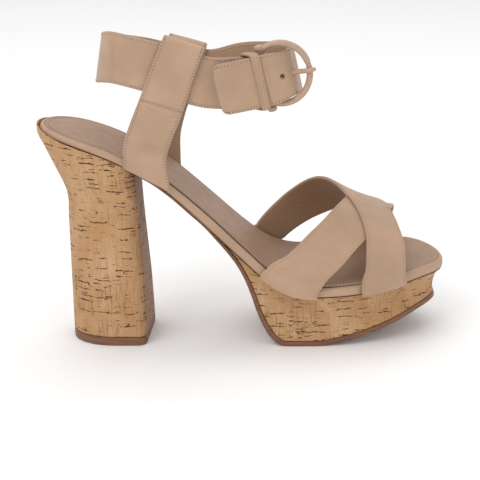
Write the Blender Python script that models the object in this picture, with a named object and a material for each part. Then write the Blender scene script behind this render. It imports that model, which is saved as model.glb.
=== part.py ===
"""Platform sandal, right shoe: crossed front straps, buckled ankle strap and a cork block heel.

Frame: origin at the centre of the heel's ground face, +X to the toe, +Y to the inner side, +Z up.
All sizes are in metres.
"""
import math
from collections import namedtuple

import bmesh
import bpy
from mathutils import Vector

MM = 0.001
CLEARANCE = 0.3 * MM
WELD = 0.01 * MM

# Last and footbed
LAST_BACK = -35.3 * MM
LAST_REACH = 221.8 * MM
SEAT_HEIGHT = 123.0 * MM
BALL_HEIGHT = 37.5 * MM
TOE_SPRING = 5.3 * MM
BALL_WIDTH = 83.0 * MM
FOOTBED_EDGE = 5.8 * MM
FOOTBED_ROUNDING = 1.5 * MM
SOCK_THICKNESS = 1.0 * MM
SOCK_MARGIN = 1.6 * MM

# Heel
HEEL_TIP_LENGTH = 43.5 * MM
HEEL_TIP_WIDTH = 42.0 * MM
HEEL_FRONT_CORNER = 4.5 * MM
TOP_LIFT_THICKNESS = 4.8 * MM
TOP_LIFT_CHAMFER = 0.5 * MM
SEAT_LIP = 2.4 * MM

# Outsole and platform
OUTSOLE_THICKNESS = 2.9 * MM
SHANK_THICKNESS = 1.6 * MM
SOLE_TUCK = 9.0 * MM
SOLE_ROUNDING = 0.5 * MM
PLATFORM_BACK = 63.0 * MM
PLATFORM_WAIST = 3.0 * MM
PLATFORM_STEP = 0.6 * MM

# Front straps
FRONT_STRAP_THICKNESS = 2.0 * MM
STRAP_ROOM = 0.6 * MM
VAMP_HEIGHT = 46.5 * MM
VAMP_SQUARENESS = 2.15

# Side straps
SIDE_STRAP_WIDTH = 21.7 * MM
SIDE_STRAP_THICKNESS = 1.8 * MM
SIDE_STRAP_FOOT = 23.5 * MM
MEDIAL_FOOT_AHEAD = 4.0 * MM
LOOP_SLACK = 0.8 * MM
SEAM_LENGTH = 4.0 * MM

# Ankle strap
ANKLE_BACK = -1.4 * MM
ANKLE_REACH = 102.0 * MM
ANKLE_HALF_WIDTH = 31.0 * MM
ANKLE_ABOVE_SEAT = 28.5 * MM
ANKLE_HEIGHT = SEAT_HEIGHT + ANKLE_ABOVE_SEAT
ANKLE_DIP = 9.0 * MM
ANKLE_STRAP_WIDTH = 26.3 * MM
ANKLE_STRAP_THICKNESS = 2.2 * MM
STRAP_TIP_ROUNDING = 4.0 * MM
STRAP_HOLE = 2.8 * MM
PRONG_HOLE = 4.4 * MM

# Buckle and keeper
BUCKLE_RADIUS = 15.4 * MM
BUCKLE_FLATNESS = 0.95
BUCKLE_BAR_OFFSET = 0.515
BUCKLE_RISE = 1.0 * MM
BUCKLE_WIRE = 3.3 * MM
BUCKLE_BAR = 3.2 * MM
BUCKLE_KNOB = 4.8 * MM
BUCKLE_KNOB_REACH = 17.3 * MM
BUCKLE_TILT = math.radians(13.0)
BUCKLE_LIFT = math.radians(4.0)
PRONG_WIRE = 2.6 * MM
PRONG_RING = 3.2 * MM
KEEPER_WIDTH = 4.4 * MM
KEEPER_BACK = 5.5 * MM
KEEPER_LEAN = 0.45
KEEPER_THICKNESS = 1.2 * MM

LATERAL = -1
MEDIAL = 1
OVER_TOP = 180.0
WRAP = 12.0

Profile = namedtuple("Profile", "reach rise spring edge")
PROFILE_ROWS = (
    # reach along the last, rise of the arch, spring of the toe, footbed edge
    Profile(0.00, 1.000, 0.00, 0.62),
    Profile(0.10, 0.936, 0.00, 0.62),
    Profile(0.20, 0.838, 0.00, 0.68),
    Profile(0.30, 0.699, 0.00, 0.80),
    Profile(0.40, 0.484, 0.00, 0.95),
    Profile(0.50, 0.239, 0.00, 1.00),
    Profile(0.56, 0.099, 0.00, 1.00),
    Profile(0.62, 0.016, 0.00, 1.00),
    Profile(0.68, 0.000, 0.00, 1.00),
    Profile(0.80, 0.000, 0.25, 1.00),
    Profile(0.88, 0.000, 0.66, 1.00),
    Profile(0.94, 0.000, 0.87, 1.00),
    Profile(1.00, 0.000, 1.00, 1.00),
)

Plan = namedtuple("Plan", "turn lateral medial")
PLAN_ROWS = (
    # turn from back to toe, half-widths as shares of the ball's width
    Plan(0.00, 0.000, 0.000),
    Plan(0.10, 0.211, 0.215),
    Plan(0.20, 0.331, 0.325),
    Plan(0.30, 0.349, 0.342),
    Plan(0.40, 0.328, 0.316),
    Plan(0.50, 0.343, 0.380),
    Plan(0.58, 0.373, 0.612),
    Plan(0.66, 0.352, 0.672),
    Plan(0.75, 0.267, 0.633),
    Plan(0.84, 0.108, 0.560),
    Plan(0.92, -0.012, 0.373),
    Plan(1.00, -0.145, 0.145),
)

Sole = namedtuple("Sole", "reach height thick tuck")
SOLE_ROWS = (
    # reach along the last, height as a share of the ball's, thickness and tuck as shares
    Sole(0.4612, 1.400, 0.25, 0.40),
    Sole(0.4905, 1.107, 0.40, 0.50),
    Sole(0.5100, 0.813, 0.60, 0.62),
    Sole(0.5235, 0.560, 0.75, 0.78),
    Sole(0.5397, 0.320, 0.90, 0.95),
    Sole(0.5580, 0.139, 1.00, 1.00),
    Sole(0.5785, 0.032, 1.00, 1.00),
    Sole(0.6010, 0.000, 1.00, 1.00),
    Sole(0.6820, 0.000, 1.00, 0.98),
    Sole(0.7137, 0.032, 1.00, 0.95),
    Sole(0.7858, 0.133, 1.00, 0.82),
    Sole(0.8828, 0.320, 1.00, 0.58),
    Sole(0.9378, 0.429, 1.00, 0.45),
    Sole(0.9874, 0.528, 1.00, 0.39),
)
SHANK_TUCK = 0.33
SHANK_ROWS = 5
SHANK_END = 0.425

Heel = namedtuple("Heel", "share back breast half seat corner turn")
HEEL_ROWS = (
    # share of the height, back, breast and half-width as shares of the tip's, share of the seat's
    # form, front corner as a share of the tip's, turn of the breast to the outer side in degrees
    Heel(0.00, 1.000, 0.985, 1.00, 0.00, 1.0, 4.0),
    Heel(0.30, 1.015, 0.940, 1.01, 0.00, 1.3, 2.6),
    Heel(0.60, 1.030, 0.850, 1.04, 0.00, 1.7, 1.2),
    Heel(0.71, 1.038, 0.818, 1.06, 0.00, 1.8, 0.6),
    Heel(0.76, 1.120, 0.803, 1.10, 0.16, 1.9, 0.3),
    Heel(0.82, 1.270, 0.785, 1.15, 0.38, 2.0, 0.0),
    Heel(0.89, 1.450, 0.765, 1.20, 0.62, 2.0, 0.0),
    Heel(0.95, 1.610, 0.752, 1.25, 0.85, 2.0, 0.0),
    Heel(0.98, 1.700, 0.747, 1.28, 0.97, 2.0, 0.0),
    Heel(1.00, 1.735, 0.745, 1.30, 1.00, 2.0, 0.0),
)
HEEL_ROUNDNESS = 2.2

Band = namedtuple("Band", "over rear front lift")
STRAP_A_ROWS = (
    # degrees over the foot, rear and front edge as shares of the last's reach, lift as a share
    # of the strap's thickness
    Band(-12.0, 0.546, 0.668, 0.0),
    Band(0.0, 0.547, 0.679, 0.0),
    Band(15.0, 0.597, 0.727, 0.0),
    Band(30.0, 0.639, 0.764, 0.0),
    Band(45.0, 0.680, 0.800, 0.0),
    Band(60.0, 0.710, 0.828, 0.0),
    Band(75.0, 0.733, 0.850, 0.0),
    Band(90.0, 0.750, 0.865, 0.0),
    Band(110.0, 0.770, 0.880, 0.0),
    Band(135.0, 0.780, 0.888, 0.0),
    Band(180.0, 0.780, 0.888, 0.0),
    Band(192.0, 0.780, 0.888, 0.0),
)
STRAP_B_ROWS = (
    Band(-12.0, 0.776, 0.888, 0.0),
    Band(0.0, 0.776, 0.886, 0.0),
    Band(15.0, 0.785, 0.883, 0.3),
    Band(35.0, 0.785, 0.879, 0.9),
    Band(60.0, 0.773, 0.868, 0.9),
    Band(75.0, 0.757, 0.861, 0.9),
    Band(90.0, 0.733, 0.855, 0.9),
    Band(110.0, 0.695, 0.830, 0.9),
    Band(130.0, 0.657, 0.790, 0.9),
    Band(155.0, 0.595, 0.730, 0.4),
    Band(175.0, 0.540, 0.625, 0.0),
    Band(180.0, 0.528, 0.604, 0.0),
    Band(192.0, 0.526, 0.598, 0.0),
)

Vamp = namedtuple("Vamp", "reach height")
VAMP_ROWS = (
    # reach along the last, height of the foot as a share of the vamp's
    Vamp(0.50, 1.32),
    Vamp(0.62, 1.14),
    Vamp(0.70, 0.96),
    Vamp(0.77, 0.76),
    Vamp(0.86, 0.58),
    Vamp(0.93, 0.49),
)

Ring = namedtuple("Ring", "reach side dip lean")
RING_ROWS = (
    # reach along the ankle, side as a share of the half-width, height as a share of the dip,
    # lean of the band in degrees
    Ring(0.726, -1.070, -0.33, -10.0),
    Ring(0.564, -1.015, -0.27, 0.0),
    Ring(0.392, -1.000, 0.26, 0.0),
    Ring(0.211, -0.960, 0.78, 5.0),
    Ring(0.078, -0.740, 1.00, 8.0),
    Ring(0.012, -0.390, 0.83, 9.0),
    Ring(0.000, 0.000, 0.55, 9.0),
    Ring(0.012, 0.390, 0.44, 9.0),
    Ring(0.078, 0.710, 0.12, 8.0),
    Ring(0.211, 0.900, -0.22, 5.0),
    Ring(0.392, 0.935, -0.72, 0.0),
    Ring(0.573, 0.925, -0.92, 0.0),
    Ring(0.745, 0.855, -0.45, -6.0),
    Ring(0.878, 0.680, -0.28, -10.0),
    Ring(0.964, 0.320, -0.06, -13.0),
    Ring(0.997, -0.190, 0.17, -13.0),
    Ring(1.000, -0.710, 0.36, -13.0),
)
LATERAL_LOOP_ROW = 2
MEDIAL_LOOP_ROW = 10

Side = namedtuple("Side", "rise lateral medial wide lean")
SIDE_ROWS = (
    # way up from the footbed's underside to the loop's middle, shift along the foot on each side
    # and width as shares of the strap's width, fall of its width towards the toe in degrees
    Side(0.00, 0.08, 0.05, 1.27, 28.0),
    Side(0.09, 0.00, 0.01, 1.19, 26.0),
    Side(0.18, -0.11, -0.04, 1.10, 18.0),
    Side(0.38, -0.15, -0.12, 1.08, 14.0),
    Side(0.57, -0.11, -0.12, 1.08, 14.0),
    Side(0.72, -0.08, -0.08, 1.07, 14.0),
    Side(1.00, -0.05, -0.02, 1.04, 14.0),
    Side(1.28, 0.01, 0.00, 1.00, 14.0),
)
OUTER_RISES = (0.0, 0.09, 0.18, 0.28, 0.38, 0.50, 0.62, 0.70, 0.75, 0.88, 1.00, 1.14)
SPARE_HOLE_ALONG = 0.52
BAR_REACH = 0.845
BAR_HEIGHT = 0.08

Turn = namedtuple("Turn", "along out wide")
FREE_ROWS = (
    # along the strap from the bar as a share of the buckle's radius, out from the bar in
    # layers of the strap's thickness, width as a share of the strap's
    Turn(0.915, -2.20, 0.90),
    Turn(0.885, -0.80, 0.88),
    Turn(0.795, 0.35, 0.88),
    Turn(0.620, 1.35, 0.91),
    Turn(0.390, 2.10, 0.97),
    Turn(0.170, 2.50, 1.00),
    Turn(0.000, 2.62, 1.00),
    Turn(-0.500, 2.50, 1.00),
    Turn(-1.000, 2.15, 1.00),
    Turn(-1.630, 1.60, 1.00),
)
PRONG_ROWS = (
    Turn(0.16, 0.00, 1.00),
    Turn(0.50, -0.25, 1.00),
    Turn(0.88, -0.15, 1.00),
    Turn(1.14, 0.75, 0.98),
    Turn(1.38, 1.88, 0.95),
    Turn(1.53, 2.12, 0.90),
    Turn(1.62, 2.16, 0.75),
)

Finish = namedtuple("Finish", "name colour roughness metallic")
LEATHER = Finish("leather", (0.47, 0.33, 0.25), 0.55, 0.0)
LINING = Finish("lining", (0.36, 0.24, 0.18), 0.60, 0.0)
CORK = Finish("cork", (0.62, 0.42, 0.24), 0.75, 0.0)
SOLE_EDGE = Finish("sole_edge", (0.22, 0.10, 0.05), 0.55, 0.0)
ENAMEL = Finish("enamel", (0.50, 0.35, 0.28), 0.35, 0.0)


def follow(rows, column, at, key=0):
    """Read a column of a table at a place along it, on a smooth curve through its rows."""
    places = [row[key] for row in rows]
    values = [getattr(row, column) for row in rows]
    last = len(rows) - 1
    steps = [places[i + 1] - places[i] for i in range(last)]
    slopes = [(values[i + 1] - values[i]) / steps[i] for i in range(last)]
    tangents = [slopes[0]]
    for i in range(1, last):
        before, after = slopes[i - 1], slopes[i]
        if before * after <= 0:
            tangents.append(0.0)
        else:
            weight = steps[i - 1] + steps[i]
            tangents.append((before * steps[i] + after * steps[i - 1]) / weight)
    tangents.append(slopes[-1])
    if at <= places[0]:
        return values[0] + tangents[0] * (at - places[0])
    if at >= places[-1]:
        return values[-1] + tangents[-1] * (at - places[-1])
    i = max(k for k in range(last) if places[k] <= at)
    t = (at - places[i]) / steps[i]
    return ((2 * t ** 3 - 3 * t ** 2 + 1) * values[i]
            + (t ** 3 - 2 * t ** 2 + t) * steps[i] * tangents[i]
            + (3 * t ** 2 - 2 * t ** 3) * values[i + 1]
            + (t ** 3 - t ** 2) * steps[i] * tangents[i + 1])


def smooth_path(points, per_span):
    """Points on a smooth curve through the given points, Vectors of any length."""
    path = []
    last = len(points) - 1
    for i in range(last):
        before = points[i - 1] if i > 0 else points[i] * 2 - points[i + 1]
        after = points[i + 2] if i + 2 <= last else points[i + 1] * 2 - points[i]
        start, end = points[i], points[i + 1]
        for step in range(per_span):
            t = step / per_span
            path.append(0.5 * (2 * start + (end - before) * t
                               + (2 * before - 5 * start + 4 * end - after) * t ** 2
                               + (3 * start - before - 3 * end + after) * t ** 3))
    path.append(points[last].copy())
    return path


class SideProfile:
    """A side view's curve, as (x, z) points from back to toe."""

    def __init__(self, points):
        self.points = points

    def height(self, x):
        """Height of the curve at a reach, straight on beyond its ends."""
        points = self.points
        low, high = 0, len(points) - 1
        while high - low > 1:
            middle = (low + high) // 2
            if points[middle][0] <= x:
                low = middle
            else:
                high = middle
        (x0, z0), (x1, z1) = points[low], points[high]
        return z0 + (z1 - z0) * (x - x0) / (x1 - x0)

    def normal(self, x):
        """Upward normal of the curve at a reach."""
        run = 0.8 * MM
        rise = self.height(x + run) - self.height(x - run)
        return Vector((-rise, 0.0, 2 * run)).normalized()

    def lift(self, x, y, above):
        """Point at a reach and side, moved off the curve along its normal."""
        return Vector((x, y, self.height(x))) + self.normal(x) * above


def reach_x(share):
    """Place along the last, from its share of the reach."""
    return LAST_BACK + share * LAST_REACH


def reach_share(x):
    """Share of the last's reach at a place along it."""
    return (x - LAST_BACK) / LAST_REACH


def turn_at(x):
    """Turn of the plan outline at a place along the last."""
    share = min(max(reach_share(x), 0.0), 1.0)
    return math.acos(1 - 2 * share) / math.pi


def last_height(x):
    """Height of the footbed's top at a place along the last."""
    share = reach_share(x)
    rise = follow(PROFILE_ROWS, "rise", share) * (SEAT_HEIGHT - BALL_HEIGHT)
    return BALL_HEIGHT + rise + follow(PROFILE_ROWS, "spring", share) * TOE_SPRING


def footbed_edge(x):
    """Thickness of footbed and sock together at a place along the last."""
    return follow(PROFILE_ROWS, "edge", min(max(reach_share(x), 0.0), 1.0)) * FOOTBED_EDGE


LAST_STEPS = 240
LAST_OVERRUN = 0.03
LAST = SideProfile([
    (reach_x(share), last_height(reach_x(share)))
    for share in (-LAST_OVERRUN + (1 + 2 * LAST_OVERRUN) * i / LAST_STEPS
                  for i in range(LAST_STEPS + 1))])


def half_width(x, side):
    """Half-width of the footbed at a place along the last."""
    column = "lateral" if side == LATERAL else "medial"
    return follow(PLAN_ROWS, column, turn_at(x)) * BALL_WIDTH


def outline_point(turn, side):
    """Point (x, y) of the footbed's outline."""
    column = "lateral" if side == LATERAL else "medial"
    x = reach_x((1 - math.cos(math.pi * turn)) / 2)
    return Vector((x, side * follow(PLAN_ROWS, column, turn) * BALL_WIDTH))


def inset_point(turn, side, inset):
    """Point of the outline moved inwards."""
    step = 0.004
    before = max(turn - step, 0.0)
    after = min(turn + step, 1.0)
    run = outline_point(after, side) - outline_point(before, side)
    if turn <= step:
        run = Vector((0.0, side))
    if turn >= 1 - step:
        run = Vector((0.0, -side))
    inward = Vector((run.y, -run.x)).normalized() * side
    return outline_point(turn, side) + inward * inset


def breast_x(share):
    """Place of the heel's flat front at a share of its height."""
    return follow(HEEL_ROWS, "breast", share) * HEEL_TIP_LENGTH / 2


def sole_points():
    """Outer curve of the outsole, from the heel's breast along the shank to the toe."""
    rows = []
    below = SHANK_THICKNESS + CLEARANCE
    breast = breast_x(1.0) + 2 * CLEARANCE
    start = reach_share(breast + LAST.normal(breast).x * (footbed_edge(breast) + below))
    for i in range(SHANK_ROWS):
        x = reach_x(start + (SHANK_END - start) * i / (SHANK_ROWS - 1))
        point = LAST.lift(x, 0.0, -footbed_edge(x) - below)
        rows.append(Vector((point.x, point.z)))
    rows += [Vector((reach_x(row.reach), row.height * BALL_HEIGHT)) for row in SOLE_ROWS]
    return [(point.x, max(point.y, 0.0)) for point in smooth_path(rows, 16)]


SOLE = SideProfile(sole_points())


def sole_column(column, x, at_shank):
    """Share read from the sole's rows, or the shank's own behind them."""
    share = reach_share(x)
    if share >= SOLE_ROWS[0].reach:
        return follow(SOLE_ROWS, column, min(share, SOLE_ROWS[-1].reach))
    blend = min(max((share - SHANK_END) / (SOLE_ROWS[0].reach - SHANK_END), 0.0), 1.0)
    return at_shank + (getattr(SOLE_ROWS[0], column) - at_shank) * blend


def sole_thickness(x):
    """Thickness of the outsole at a place along it."""
    thick = sole_column("thick", x, 0.0)
    return SHANK_THICKNESS + (OUTSOLE_THICKNESS - SHANK_THICKNESS) * thick


def sole_inset(x):
    """How far the outsole's edge lies inside the footbed's outline."""
    return sole_column("tuck", x, SHANK_TUCK) * SOLE_TUCK


def new_object(name, mesh, finish):
    """Make an object of a mesh, with its own material."""
    data = bpy.data.meshes.new(name)
    bmesh.ops.recalc_face_normals(mesh, faces=mesh.faces[:])
    mesh.to_mesh(data)
    mesh.free()
    piece = bpy.data.objects.new(name, data)
    bpy.context.scene.collection.objects.link(piece)
    material = bpy.data.materials.get(finish.name) or bpy.data.materials.new(finish.name)
    material.use_nodes = True
    shader = material.node_tree.nodes["Principled BSDF"]
    shader.inputs["Base Color"].default_value = (*finish.colour, 1.0)
    shader.inputs["Roughness"].default_value = finish.roughness
    shader.inputs["Metallic"].default_value = finish.metallic
    data.materials.append(material)
    data.shade_smooth()
    data.set_sharp_from_angle(angle=math.radians(40.0))
    return piece


def add_face(mesh, corners):
    """Add a face, leaving out corners that fall together."""
    kept = []
    for corner in corners:
        if corner not in kept:
            kept.append(corner)
    if len(kept) > 2:
        mesh.faces.new(kept)


def paired_loft(name, levels, finish):
    """Close a solid through levels of (lateral, medial) point pairs, lowest level first."""
    mesh = bmesh.new()
    grid = []
    for level in levels:
        pairs = []
        for lateral, medial in level:
            first = mesh.verts.new(lateral)
            together = (lateral - medial).length < WELD
            pairs.append((first, first if together else mesh.verts.new(medial)))
        grid.append(pairs)
    for low, high in zip(grid, grid[1:]):
        for i in range(len(low) - 1):
            add_face(mesh, (low[i][0], low[i + 1][0], high[i + 1][0], high[i][0]))
            add_face(mesh, (low[i + 1][1], low[i][1], high[i][1], high[i + 1][1]))
        for end in (0, -1):
            add_face(mesh, (low[end][0], low[end][1], high[end][1], high[end][0]))
    for pairs in (grid[0], grid[-1]):
        for one, two in zip(pairs, pairs[1:]):
            add_face(mesh, (one[0], one[1], two[1], two[0]))
    return new_object(name, mesh, finish)


def ring_loft(name, rings, finish, closed=False):
    """Close a solid through rings of points, with flat ends unless it closes on itself."""
    mesh = bmesh.new()
    loops = [[mesh.verts.new(point) for point in ring] for ring in rings]
    pairs = list(zip(loops, loops[1:]))
    if closed:
        pairs.append((loops[-1], loops[0]))
    for one, two in pairs:
        for i in range(len(one)):
            j = (i + 1) % len(one)
            mesh.faces.new((one[i], one[j], two[j], two[i]))
    if not closed:
        mesh.faces.new(loops[0])
        mesh.faces.new(loops[-1])
    return new_object(name, mesh, finish)


def combine(piece, others, operation):
    """Join or cut a piece with others, which stay as hidden guides."""
    for other in others:
        modifier = piece.modifiers.new(operation.lower(), "BOOLEAN")
        modifier.operation = operation
        modifier.solver = "EXACT"
        modifier.object = other
        other.hide_render = True
        other.display_type = "WIRE"


def plate_section(half, thickness, across, out):
    """Section of a strap with rounded edges, as offsets round its middle."""
    rim = min(0.45 * thickness, half)
    depth = thickness / 2
    corners = (
        (-half + rim, -depth), (0.0, -depth), (half - rim, -depth),
        (half, -0.45 * depth), (half, 0.45 * depth),
        (half - rim, depth), (0.0, depth), (-half + rim, depth),
        (-half, 0.45 * depth), (-half, -0.45 * depth),
    )
    return [across * a + out * o for a, o in corners]


def ribbon(name, centres, acrosses, halves, thickness, finish, squared=True):
    """Sweep a flat strap along its middle line, its sections squared to it or cut on a bias."""
    rings = []
    last = len(centres) - 1
    for i, centre in enumerate(centres):
        run = (centres[min(i + 1, last)] - centres[max(i - 1, 0)]).normalized()
        across = acrosses[i].normalized()
        if squared:
            across = (across - run * across.dot(run)).normalized()
        out = across.cross(run).normalized()
        rings.append([centre + offset
                      for offset in plate_section(halves[i], thickness, across, out)])
    return ring_loft(name, rings, finish)


def rod(name, centres, radii, finish, sides=10):
    """Sweep a round rod along its middle line."""
    rings = []
    last = len(centres) - 1
    for i, centre in enumerate(centres):
        run = (centres[min(i + 1, last)] - centres[max(i - 1, 0)]).normalized()
        side = run.orthogonal() if i == 0 else (side - run * side.dot(run))
        side = side.normalized()
        other = run.cross(side)
        rings.append([centre + (side * math.cos(a) + other * math.sin(a)) * radii[i]
                      for a in (2 * math.pi * k / sides for k in range(sides))])
    return ring_loft(name, rings, finish)


def block(name, centre, along, up, out, sizes):
    """A guide box with its own axes, centred on a point."""
    rings = []
    for a in (-0.5, 0.5):
        rings.append([centre + along * a * sizes[0] + up * b * sizes[1] + out * c * sizes[2]
                      for b, c in ((-0.5, -0.5), (0.5, -0.5), (0.5, 0.5), (-0.5, 0.5))])
    return ring_loft(name, rings, LEATHER)


FOOTBED_STATIONS = 36


def footbed_level(inset, below, edge_share=0.0):
    """One level of the footbed or sock, below the last by a depth and a share of the edge."""
    level = []
    for i in range(FOOTBED_STATIONS + 1):
        turn = i / FOOTBED_STATIONS
        pair = []
        for side in (LATERAL, MEDIAL):
            x, y = inset_point(turn, side, inset)
            depth = below + edge_share * (footbed_edge(x) - below)
            pair.append(LAST.lift(x, y, -depth))
        level.append(tuple(pair))
    return level


def build_footbed():
    """The leather-wrapped footbed, with a rounded edge."""
    top = SOCK_THICKNESS + CLEARANCE
    round_in = FOOTBED_ROUNDING
    levels = [
        footbed_level(round_in * 0.8, top, 1.0),
        footbed_level(round_in * 0.1, top, 0.75),
        footbed_level(0.0, top, 0.5),
        footbed_level(round_in * 0.15, top, 0.22),
        footbed_level(round_in, top, 0.0),
    ]
    return paired_loft("footbed", levels, LEATHER)


def build_sock():
    """The thin sock on top of the footbed."""
    levels = [
        footbed_level(SOCK_MARGIN, SOCK_THICKNESS),
        footbed_level(SOCK_MARGIN, SOCK_THICKNESS * 0.4),
        footbed_level(SOCK_MARGIN + 0.5 * SOCK_THICKNESS, 0.0),
    ]
    return paired_loft("insole_sock", levels, LINING)


def sole_stations(start, count):
    """Places along the outsole, closer where its curve or its outline turns quickly."""
    fine = 400
    span = SOLE.points[-1][0] - start
    lengths = [0.0]
    for i in range(fine):
        x0, x1 = start + span * i / fine, start + span * (i + 1) / fine
        rise = SOLE.height(x1) - SOLE.height(x0)
        turn = (turn_at(x1) - turn_at(x0)) * LAST_REACH
        lengths.append(lengths[-1] + math.sqrt((x1 - x0) ** 2 + rise ** 2 + turn ** 2))
    places = []
    k = 0
    for i in range(count + 1):
        goal = lengths[-1] * i / count
        while k < fine - 1 and lengths[k + 1] < goal:
            k += 1
        part = (goal - lengths[k]) / (lengths[k + 1] - lengths[k])
        places.append(start + span * (k + part) / fine)
    return places


OUTSOLE_STATIONS = 52


def sole_pair(x, extra, above):
    """A (lateral, medial) pair on the outsole's curve, moved inwards and up."""
    tip = SOLE.points[-1][0]
    inset = sole_inset(x) + extra
    end_inset = sole_inset(tip)
    turn = turn_at(LAST_BACK + (x - LAST_BACK) * LAST_REACH / (tip - LAST_BACK))
    near_toe = max(0.0, (turn - 0.8) / 0.2)
    pair = []
    for side in (LATERAL, MEDIAL):
        plan = inset_point(turn, side, end_inset + (inset - end_inset) * (1 - near_toe ** 2))
        along = x + (min(plan.x, tip - extra) - x) * near_toe
        pair.append(SOLE.lift(along, plan.y, above))
    return tuple(pair)


def build_outsole():
    """The outsole: forepart, platform back and shank in one piece."""
    places = sole_stations(SOLE.points[0][0], OUTSOLE_STATIONS)
    levels = []
    for extra, share in ((SOLE_ROUNDING, 0.0), (0.0, 0.25), (0.0, 0.75), (SOLE_ROUNDING / 2, 1.0)):
        levels.append([sole_pair(x, extra, share * sole_thickness(x)) for x in places])
    return paired_loft("outsole", levels, SOLE_EDGE)


PLATFORM_STATIONS = 38
PLATFORM_LEVELS = 6


def build_platform():
    """The cork platform between footbed and outsole, waisted at its side."""
    places = sole_stations(PLATFORM_BACK, PLATFORM_STATIONS)
    top_start = turn_at(PLATFORM_BACK)
    lows, highs = [], []
    for i, x in enumerate(places):
        lows.append(sole_pair(x, PLATFORM_STEP, sole_thickness(x) + CLEARANCE))
        share = i / PLATFORM_STATIONS
        turn = top_start + (1 - top_start) * share
        pair = []
        for side in (LATERAL, MEDIAL):
            place, y = inset_point(turn, side, PLATFORM_STEP)
            pair.append(LAST.lift(place, y, -footbed_edge(place) - CLEARANCE))
        highs.append(tuple(pair))
    levels = []
    for k in range(PLATFORM_LEVELS):
        share = k / (PLATFORM_LEVELS - 1)
        level = []
        for i in range(len(places)):
            turn = top_start + (1 - top_start) * i / PLATFORM_STATIONS
            pair = []
            for slot, side in enumerate((LATERAL, MEDIAL)):
                point = lows[i][slot].lerp(highs[i][slot], share)
                tall = (highs[i][slot] - lows[i][slot]).length
                waist = min(PLATFORM_WAIST, 0.12 * tall) * 4 * share * (1 - share)
                shift = inset_point(turn, side, waist) - inset_point(turn, side, 0.0)
                pair.append(point + Vector((shift.x, shift.y, 0.0)))
            level.append(tuple(pair))
        levels.append(level)
    return paired_loft("platform", levels, CORK)


HEEL_BACK_STATIONS = 12
HEEL_CORNER_STATIONS = 4


def heel_pairs(share, inset=0.0):
    """(lateral, medial) plan points of one heel section, from its back to its breast."""
    back = -follow(HEEL_ROWS, "back", share) * HEEL_TIP_LENGTH / 2 + inset
    breast = breast_x(share) - inset
    half = follow(HEEL_ROWS, "half", share) * HEEL_TIP_WIDTH / 2 - inset
    seat = follow(HEEL_ROWS, "seat", share)
    corner = HEEL_FRONT_CORNER * follow(HEEL_ROWS, "corner", share)
    slope = math.tan(math.radians(follow(HEEL_ROWS, "turn", share)))
    run = breast - corner - back
    places = [back + run * (1 - math.cos(math.pi / 2 * i / HEEL_BACK_STATIONS))
              for i in range(HEEL_BACK_STATIONS + 1)]
    for k in range(1, HEEL_CORNER_STATIONS + 1):
        places.append(breast - corner + corner * math.sin(math.pi / 2 * k / HEEL_CORNER_STATIONS))
    rows = []
    for x in places:
        u = (x - back) / (breast - back)
        rounding = (1 - min(u / 0.62, 1.0)) ** HEEL_ROUNDNESS
        block_half = half * (1 - rounding) ** (1 / HEEL_ROUNDNESS)
        fillet = 0.0
        if x > breast - corner:
            fillet = corner - math.sqrt(max(corner ** 2 - (x - breast + corner) ** 2, 0.0))
        place = LAST_BACK + u * (breast - LAST_BACK)
        lip = 1 + SEAT_LIP * max(1 - u * 1.15, -0.1) / (0.35 * BALL_WIDTH)
        pair = []
        for side in (LATERAL, MEDIAL):
            form = (1 - seat) * block_half + seat * half_width(place, side) * lip
            y = side * max(form - fillet, 0.0)
            pair.append((x + slope * max(u, 0.0) * y, y))
        rows.append(pair)
    return rows


def heel_level(share, inset=0.0):
    """One level of the heel block, between the top lift and the footbed."""
    foot = TOP_LIFT_THICKNESS + CLEARANCE
    level = []
    for pair in heel_pairs(share, inset):
        points = []
        for x, y in pair:
            top = LAST.height(x) - (footbed_edge(x) + CLEARANCE) / LAST.normal(x).z
            points.append(Vector((x, y, foot + share * (top - foot))))
        level.append((points[0], points[1]))
    return level


def build_heel():
    """The block heel, straight up to its neck and flared to the seat."""
    shares = (0.0, 0.3, 0.6, 0.68, 0.72, 0.76, 0.80, 0.84, 0.88, 0.92, 0.96, 0.985)
    levels = [heel_level(share) for share in shares]
    levels.append(heel_level(1.0, 0.6 * MM))
    return paired_loft("heel_block", levels, CORK)


def build_top_lift():
    """The wear pad under the heel."""
    levels = []
    for height, inset in ((0.0, TOP_LIFT_CHAMFER), (TOP_LIFT_CHAMFER, 0.0), (TOP_LIFT_THICKNESS, 0.0)):
        levels.append([(Vector((*lateral, height)), Vector((*medial, height)))
                       for lateral, medial in heel_pairs(0.0, inset)])
    return paired_loft("heel_top_lift", levels, SOLE_EDGE)


def vamp_point(share, over):
    """Point of the foot's form under the front straps, at a reach and degrees over it."""
    x = reach_x(share)
    lateral = half_width(x, LATERAL) + STRAP_ROOM
    medial = half_width(x, MEDIAL) + STRAP_ROOM
    middle = (medial - lateral) / 2
    half = (medial + lateral) / 2
    base = LAST.height(x)
    if over < 0.0 or over > OVER_TOP:
        beyond = -over if over < 0.0 else over - OVER_TOP
        return LAST.lift(x, -lateral if over < 0.0 else medial, -footbed_edge(x) * beyond / WRAP)
    angle = math.radians(over)
    cosine, sine = math.cos(angle), max(math.sin(angle), 0.0)
    power = 2 / VAMP_SQUARENESS
    y = middle - half * math.copysign(abs(cosine) ** power, cosine)
    z = base + follow(VAMP_ROWS, "height", share) * VAMP_HEIGHT * sine ** power
    return Vector((x, y, z))


def vamp_normal(share, over):
    """Outward normal of the foot's form."""
    step = 0.004
    turn = 2.0
    along = vamp_point(share + step, over) - vamp_point(share - step, over)
    round_ = vamp_point(share, over + turn) - vamp_point(share, over - turn)
    return along.cross(round_).normalized()


STRAP_STATIONS = 36
STRAP_COLUMNS = 6


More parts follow.
